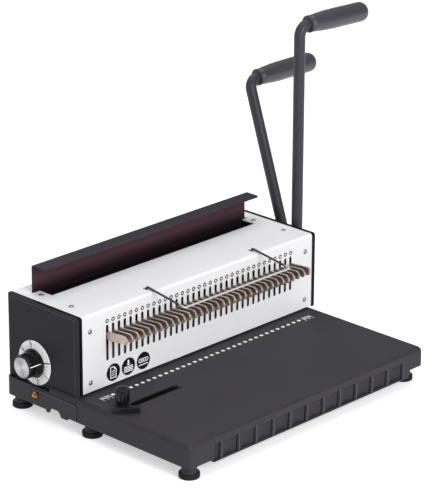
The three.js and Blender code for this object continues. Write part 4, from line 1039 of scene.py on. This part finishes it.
def make_lever(name, x, top, lean, droop, shaft_y, shaft_z):
    """A bent bar that leans to the rear on its shaft, with a grip that droops to the right, and a hub."""
    body = f"{name}_lever"
    lifted = Matrix.Translation((0, shaft_y, shaft_z))
    where = lifted @ Matrix.Rotation(math.radians(-lean), 4, "X")
    angle = math.radians(droop)
    reach = grip_start(droop) + 60
    end = (x + reach * math.cos(angle), 0, top - reach * math.sin(angle))
    bm = bmesh.new()
    tube(bm, bent_route([(x, 0, 9.3), (x, 0, top), end], BAR_BEND, 16), BAR_RADIUS, 40)
    bm.transform(where)
    piece(f"{name}_bar", bm, body, "lever_black", f"{body}_bar", angle=50)
    make_grip(name, body, x, top, droop, where)
    make_hub(name, body, x, where)


def make_grip(name, body, x, top, droop, where):
    """A moulded grip: a collar, a waist that swells to the full radius, and a rounded tip."""
    length = 94
    start = grip_start(droop)
    end = start + length
    collar = 9.75
    waist = 9.2
    full = 11.2
    tip = 8.6
    profile = [(start + 61, 0), (start + 61, BORE), (start, BORE), (start, 8.4), (start + 0.5, 9.3)]
    profile += [(start + 1.2, collar), (start + 2.4, collar)]
    profile += [(start + 2.8, 9), (start + 3.4, 8.9), (start + 3.8, 9.25)]
    swell_start = 3.6
    swell_end = length * 0.42
    for k in range(1, 11):
        along = swell_start + (swell_end - swell_start) * k / 10
        profile.append((start + along, waist + (full - waist) * math.sin(k / 10 * math.pi / 2)))
    round_end = arc(full - tip, end - tip, tip, 0, 90, 12)
    profile += [(along, reach) for reach, along in round_end] + [(end, 0)]
    bm = bmesh.new()
    turned(bm, profile, Vector(), "x", 56)
    tilt = Matrix.Rotation(math.radians(droop), 4, "Y")
    bm.transform(where @ Matrix.Translation((x, 0, top)) @ tilt)
    piece(f"{name}_handle", bm, body, "grip_plastic", f"{name}_grip", angle=40)


def make_hub(name, body, x, where):
    """A round boss on the shaft, with a socket for the bar and a six-sided recess at the front."""
    centre = Vector((x, 0, 0))
    half = 7.3
    bore = 8.45
    radius = 13
    profile = [(-half, bore), (-half, radius - 1), (-half + 1, radius)]
    profile += [(half - 1, radius), (half, radius - 1), (half, bore)]
    bm = bmesh.new()
    turned(bm, profile, centre, "x", 64, closed=True)
    bm.transform(where)
    item = to_object(f"{name}_boss", bm, materials["lever_black"])
    recess = 2.1
    holes = bmesh.new()
    turned(holes, [(9, 0), (9, BORE), (16, BORE), (16, 0)], centre, "z", 48)
    turned(holes, [(-16, 0), (-16, recess), (-10.6, recess), (-10.6, 0)], centre, "y", 6)
    holes.transform(where)
    carve(item, holes)
    crease(item)
    stands(item, body, "lever_black", f"{name}_hub")


# Dial

# Where the scale's long first mark and the pointer stand, in degrees: 180 is straight to the front
DIAL_ZERO = 166
DIAL_SWEEP = 270
DIAL_STEPS = 24
# Plain digits as lines on a 2 by 4 grid
DIGITS = {
    1: [[(1, 0), (1, 4)]],
    2: [[(0, 4), (2, 4), (2, 2), (0, 2), (0, 0), (2, 0)]],
    3: [[(0, 4), (2, 4), (2, 0), (0, 0)], [(0, 2), (2, 2)]],
    4: [[(0, 4), (0, 2), (2, 2)], [(2, 4), (2, 0)]],
    5: [[(2, 4), (0, 4), (0, 2), (2, 2), (2, 0), (0, 0)]],
    6: [[(2, 4), (0, 4), (0, 0), (2, 0), (2, 2), (0, 2)]],
}


def stroke(bm, a, b, width, face):
    """A straight printed line on a face of constant x, from one [y, z] vector to another."""
    along = (b - a).normalized() * width / 2
    side = Vector((-along.y, along.x))
    corners = [a - along - side, b + along - side, b + along + side, a - along + side]
    prism(bm, corners, "x", face - PRINT, face)


def add_digit(bm, digit, middle, angle, face):
    """A digit that stands upright towards the dial's rim. The dial is read from -X."""
    size = 0.95
    up = Vector((math.cos(angle), math.sin(angle))) * size
    across = Vector((-up.y, up.x))
    for path in DIGITS[digit]:
        points = [middle + across * (a - 1) + up * (b - 2) for a, b in path]
        for start, end in zip(points, points[1:]):
            stroke(bm, start, end, 0.7, face)


def make_dial():
    """The white scale plate, and on it a long first mark, fine and coarse marks and plain numbers."""
    low, high = span("dial_plate")
    centre = Vector((0, *(low + high).yz / 2))
    radius = (high.y - low.y) / 2
    bore = 4
    bevel = 0.3
    profile = [(high.x, bore), (high.x, radius), (low.x + bevel, radius)]
    profile += [(low.x, radius - bevel), (low.x, bore)]
    bm = bmesh.new()
    turned(bm, profile, centre, "x", 96, closed=True)
    piece("dial_scale", bm, "frame", "dial_white", "dial_plate", angle=SHARP)
    marks = bmesh.new()
    hub = Vector((centre.y, centre.z))
    for k in range(DIAL_STEPS + 1):
        angle = math.radians(DIAL_ZERO + DIAL_SWEEP * k / DIAL_STEPS)
        ray = Vector((math.cos(angle), math.sin(angle)))
        if k == 0:
            stroke(marks, hub + ray * 15.9, hub + ray * 24.2, 1.3, low.x)
        elif k % 4:
            stroke(marks, hub + ray * 17.4, hub + ray * 19, 0.5, low.x)
        else:
            stroke(marks, hub + ray * 16.6, hub + ray * 19, 0.85, low.x)
            add_digit(marks, k // 4, hub + ray * 21.4, angle, low.x)
    piece("dial_marks", marks, "frame", "dial_white", material=ink_black)


def make_dial_knob():
    """The fluted knob on its skirt, the white pointer on both, and the spun metal cap."""
    low, high = span("dial_knob")
    centre = Vector((0, *(low + high).yz / 2))
    skirt_top = high.x - 3
    skirt = [(high.x, 0), (high.x, 15.4), (high.x - 0.4, 15.8), (high.x - 1.6, 15.8)]
    skirt += [(skirt_top, 14.4), (skirt_top, 0)]
    bm = bmesh.new()
    turned(bm, skirt, centre, "x", 96)
    radius = 13.4
    grip = [(skirt_top + 0.4, 0), (skirt_top + 0.4, radius), (low.x + 1.2, radius - 0.3)]
    grip += [(low.x + 0.3, radius - 0.7), (low.x, radius - 1.3), (low.x, 0)]
    turned(bm, grip, centre, "x", 192, (16, 0.9 / radius))
    piece("dial_grip", bm, "dial", "knob_plastic", "dial_knob", angle=35)
    y = centre.y
    under = centre.z - 0.45
    over = centre.z + 0.45
    pointer = bmesh.new()
    box(pointer, low.x + 0.2, skirt_top, y - 13.5, y - 12.9, under, over)
    box(pointer, skirt_top - 0.08, skirt_top + 0.1, y - 14.4, y - 13, under, over)
    tilt = Matrix.Rotation(math.radians(DIAL_ZERO - 180), 4, "X")
    pointer.transform(Matrix.Translation(centre) @ tilt @ Matrix.Translation(-centre))
    piece("dial_pointer", pointer, "dial", "knob_plastic", material=ink_white)
    low, high = span("knob_cap")
    radius = (high.y - low.y) / 2
    dish = low.x + 0.15
    profile = [(high.x, 0), (high.x, radius), (low.x + 0.35, radius), (low.x, radius - 0.4)]
    profile += [(low.x, radius * 0.92), (dish, radius * 0.9), (dish, 0)]
    cap = bmesh.new()
    turned(cap, profile, centre, "x", 96)
    piece("dial_cap", cap, "dial", "cap_aluminium", "knob_cap", angle=25)


# Side guide


def make_side_guide():
    """The guide's arm with a round boss on the bolt, and the fluted thumb knob over it."""
    low, high = span("guide_bolt")
    stud = Vector((*(low + high).xy / 2, 0))
    turn = Matrix.Translation(stud) @ Matrix.Rotation(math.radians(-44), 4, "Z")
    under = 0.3
    over = 5.9
    arm = bmesh.new()
    prism(arm, rounded(-11, 18, -11.5, -5, 2.5, 6), "z", under, over)
    arm.transform(turn)
    item = to_object("guide_foot", arm, guide_black)
    boss = bmesh.new()
    prism(boss, circle(0, 0, 8.6, 48), "z", under, over)
    boss.transform(turn)
    carve(item, boss, "UNION")
    bore = 2.9
    hole = bmesh.new()
    turned(hole, [(0, 0), (0, bore), (over + 1.1, bore), (over + 1.1, 0)], stud, "z", 32)
    carve(item, hole)
    soften(item, 0.8, 4)
    stands(item, "guide_arm", "lever_black", "guide_arm")
    low, high = span("guide_knob")
    profile = [(low.z, 0), (low.z, 5.4), (low.z + 1.4, 5.4), (low.z + 1.6, 7.2), (low.z + 2.4, 7.65)]
    profile += [(high.z - 1.2, 7.4), (high.z - 0.4, 6.9), (high.z, 6.2), (high.z, 3.6)]
    profile += [(high.z - 0.6, 3.3), (high.z - 0.6, 0)]
    knob = bmesh.new()
    turned(knob, profile, stud, "z", 160, (10, 1.1 / 7.7))
    piece("guide_thumb_knob", knob, "guide_knob", "knob_plastic", "guide_knob", angle=38)


# Finish of the CAD nodes that stay


def finish_cad_nodes():
    slots = {part["node"]: part["material_slot"] for part in frame["record"]["subparts"]}
    for node, item in frame["nodes"].items():
        item.data.materials.clear()
        item.data.materials.append(materials[slots[node]])


# Floor, light and background


def make_stage():
    ground = cad_bounds[0][2]
    mesh = bpy.data.meshes.new("floor")
    size = 14
    corners = [(x, y, ground) for x, y in ((-size, -size), (size, -size), (size, size), (-size, size))]
    mesh.from_pydata(corners, [], [(0, 1, 2, 3)])
    floor = placed("floor", mesh)
    nodes = Nodes("floor_white")
    cloud = nodes.noise(3.0, 2.0)
    tone = nodes.mix(nodes.spread(cloud), shade((0.7, 0.7, 0.7)), shade((0.72, 0.72, 0.72)))
    diffuse = nodes.add("ShaderNodeBsdfDiffuse", {"Color": tone})
    path = nodes.add("ShaderNodeLightPath")
    seen = nodes.maths("MAXIMUM", path.outputs["Is Camera Ray"], path.outputs["Is Glossy Ray"])
    seen = nodes.maths("MAXIMUM", seen, path.outputs["Is Transmission Ray"])
    glow = nodes.add("ShaderNodeEmission", {"Strength": nodes.maths("MULTIPLY", seen, 0.5)})
    both = nodes.add("ShaderNodeAddShader", {0: diffuse.outputs[0], 1: glow.outputs[0]})
    nodes.tree.links.new(both.outputs[0], nodes.output.inputs[0])
    mesh.materials.append(nodes.material)


def area_light(name, place, target, size, energy):
    light = bpy.data.lights.new(name, "AREA")
    light.shape = "RECTANGLE"
    light.size, light.size_y = size
    light.energy = energy
    item = placed(name, light)
    aim = (Vector(target) - Vector(place)).to_track_quat("-Z", "Y")
    item.matrix_world = Matrix.Translation(place) @ aim.to_matrix().to_4x4()


def make_light():
    """Four soft lights, and a dim white world that the camera sees as full white."""
    world = bpy.data.worlds.new("studio")
    bpy.context.scene.world = world
    world.use_nodes = True
    tree = world.node_tree
    tree.nodes.clear()
    output = tree.nodes.new("ShaderNodeOutputWorld")
    path = tree.nodes.new("ShaderNodeLightPath")
    choose = tree.nodes.new("ShaderNodeMixShader")
    tree.links.new(path.outputs["Is Camera Ray"], choose.inputs[0])
    tree.links.new(choose.outputs[0], output.inputs[0])
    for place, strength in ((1, 0.37), (2, 1)):
        white = tree.nodes.new("ShaderNodeBackground")
        white.inputs["Color"].default_value = (1, 1, 1, 1)
        white.inputs["Strength"].default_value = strength
        tree.links.new(white.outputs[0], choose.inputs[place])
    area_light("key", (-0.5, -2.9, 1.5), (0, 0, 0.08), (2.0, 2.0), 92)
    area_light("side", (-2.6, 0.7, 1.5), (0, 0, 0.1), (1.2, 1.6), 14)
    area_light("overhead", (0.3, 0.5, 2.8), (0, 0, 0.05), (2.4, 2.4), 35)
    area_light("rear", (0.9, 2.7, 1.0), (0, 0, 0.1), (1.6, 1.6), 16)
    bpy.context.scene.view_settings.view_transform = "Standard"


finish_cad_nodes()
make_camera()
refined("base_tray", "table", "frame", "table_plastic", 0.5, 2)
make_slot_pocket()
make_slot_edge()
make_apron()
make_drawer_seam()
refined("chip_tray", "chip_drawer", "chip_tray", "table_plastic", 0.4, 2)
make_catch()
for foot in [name for name in frame["nodes"] if name.startswith("foot_")]:
    make_foot(foot)
make_cover()
make_slot_wall_shade()
make_panel_print()
make_table_marks()
make_end_panels()
for screw in [name for name in frame["nodes"] if name.startswith("cover_screw_")]:
    make_screw(screw, "z" if "_top_" in screw else "y")
make_press_plate()
make_comb()
make_bail()
make_lever("punch", x=190, top=266, lean=0, droop=1.8, shaft_y=37, shaft_z=50)
make_lever("closing", x=204.5, top=188, lean=18.4, droop=0, shaft_y=67, shaft_z=54)
make_dial()
make_dial_knob()
make_side_guide()
make_stage()
make_light()
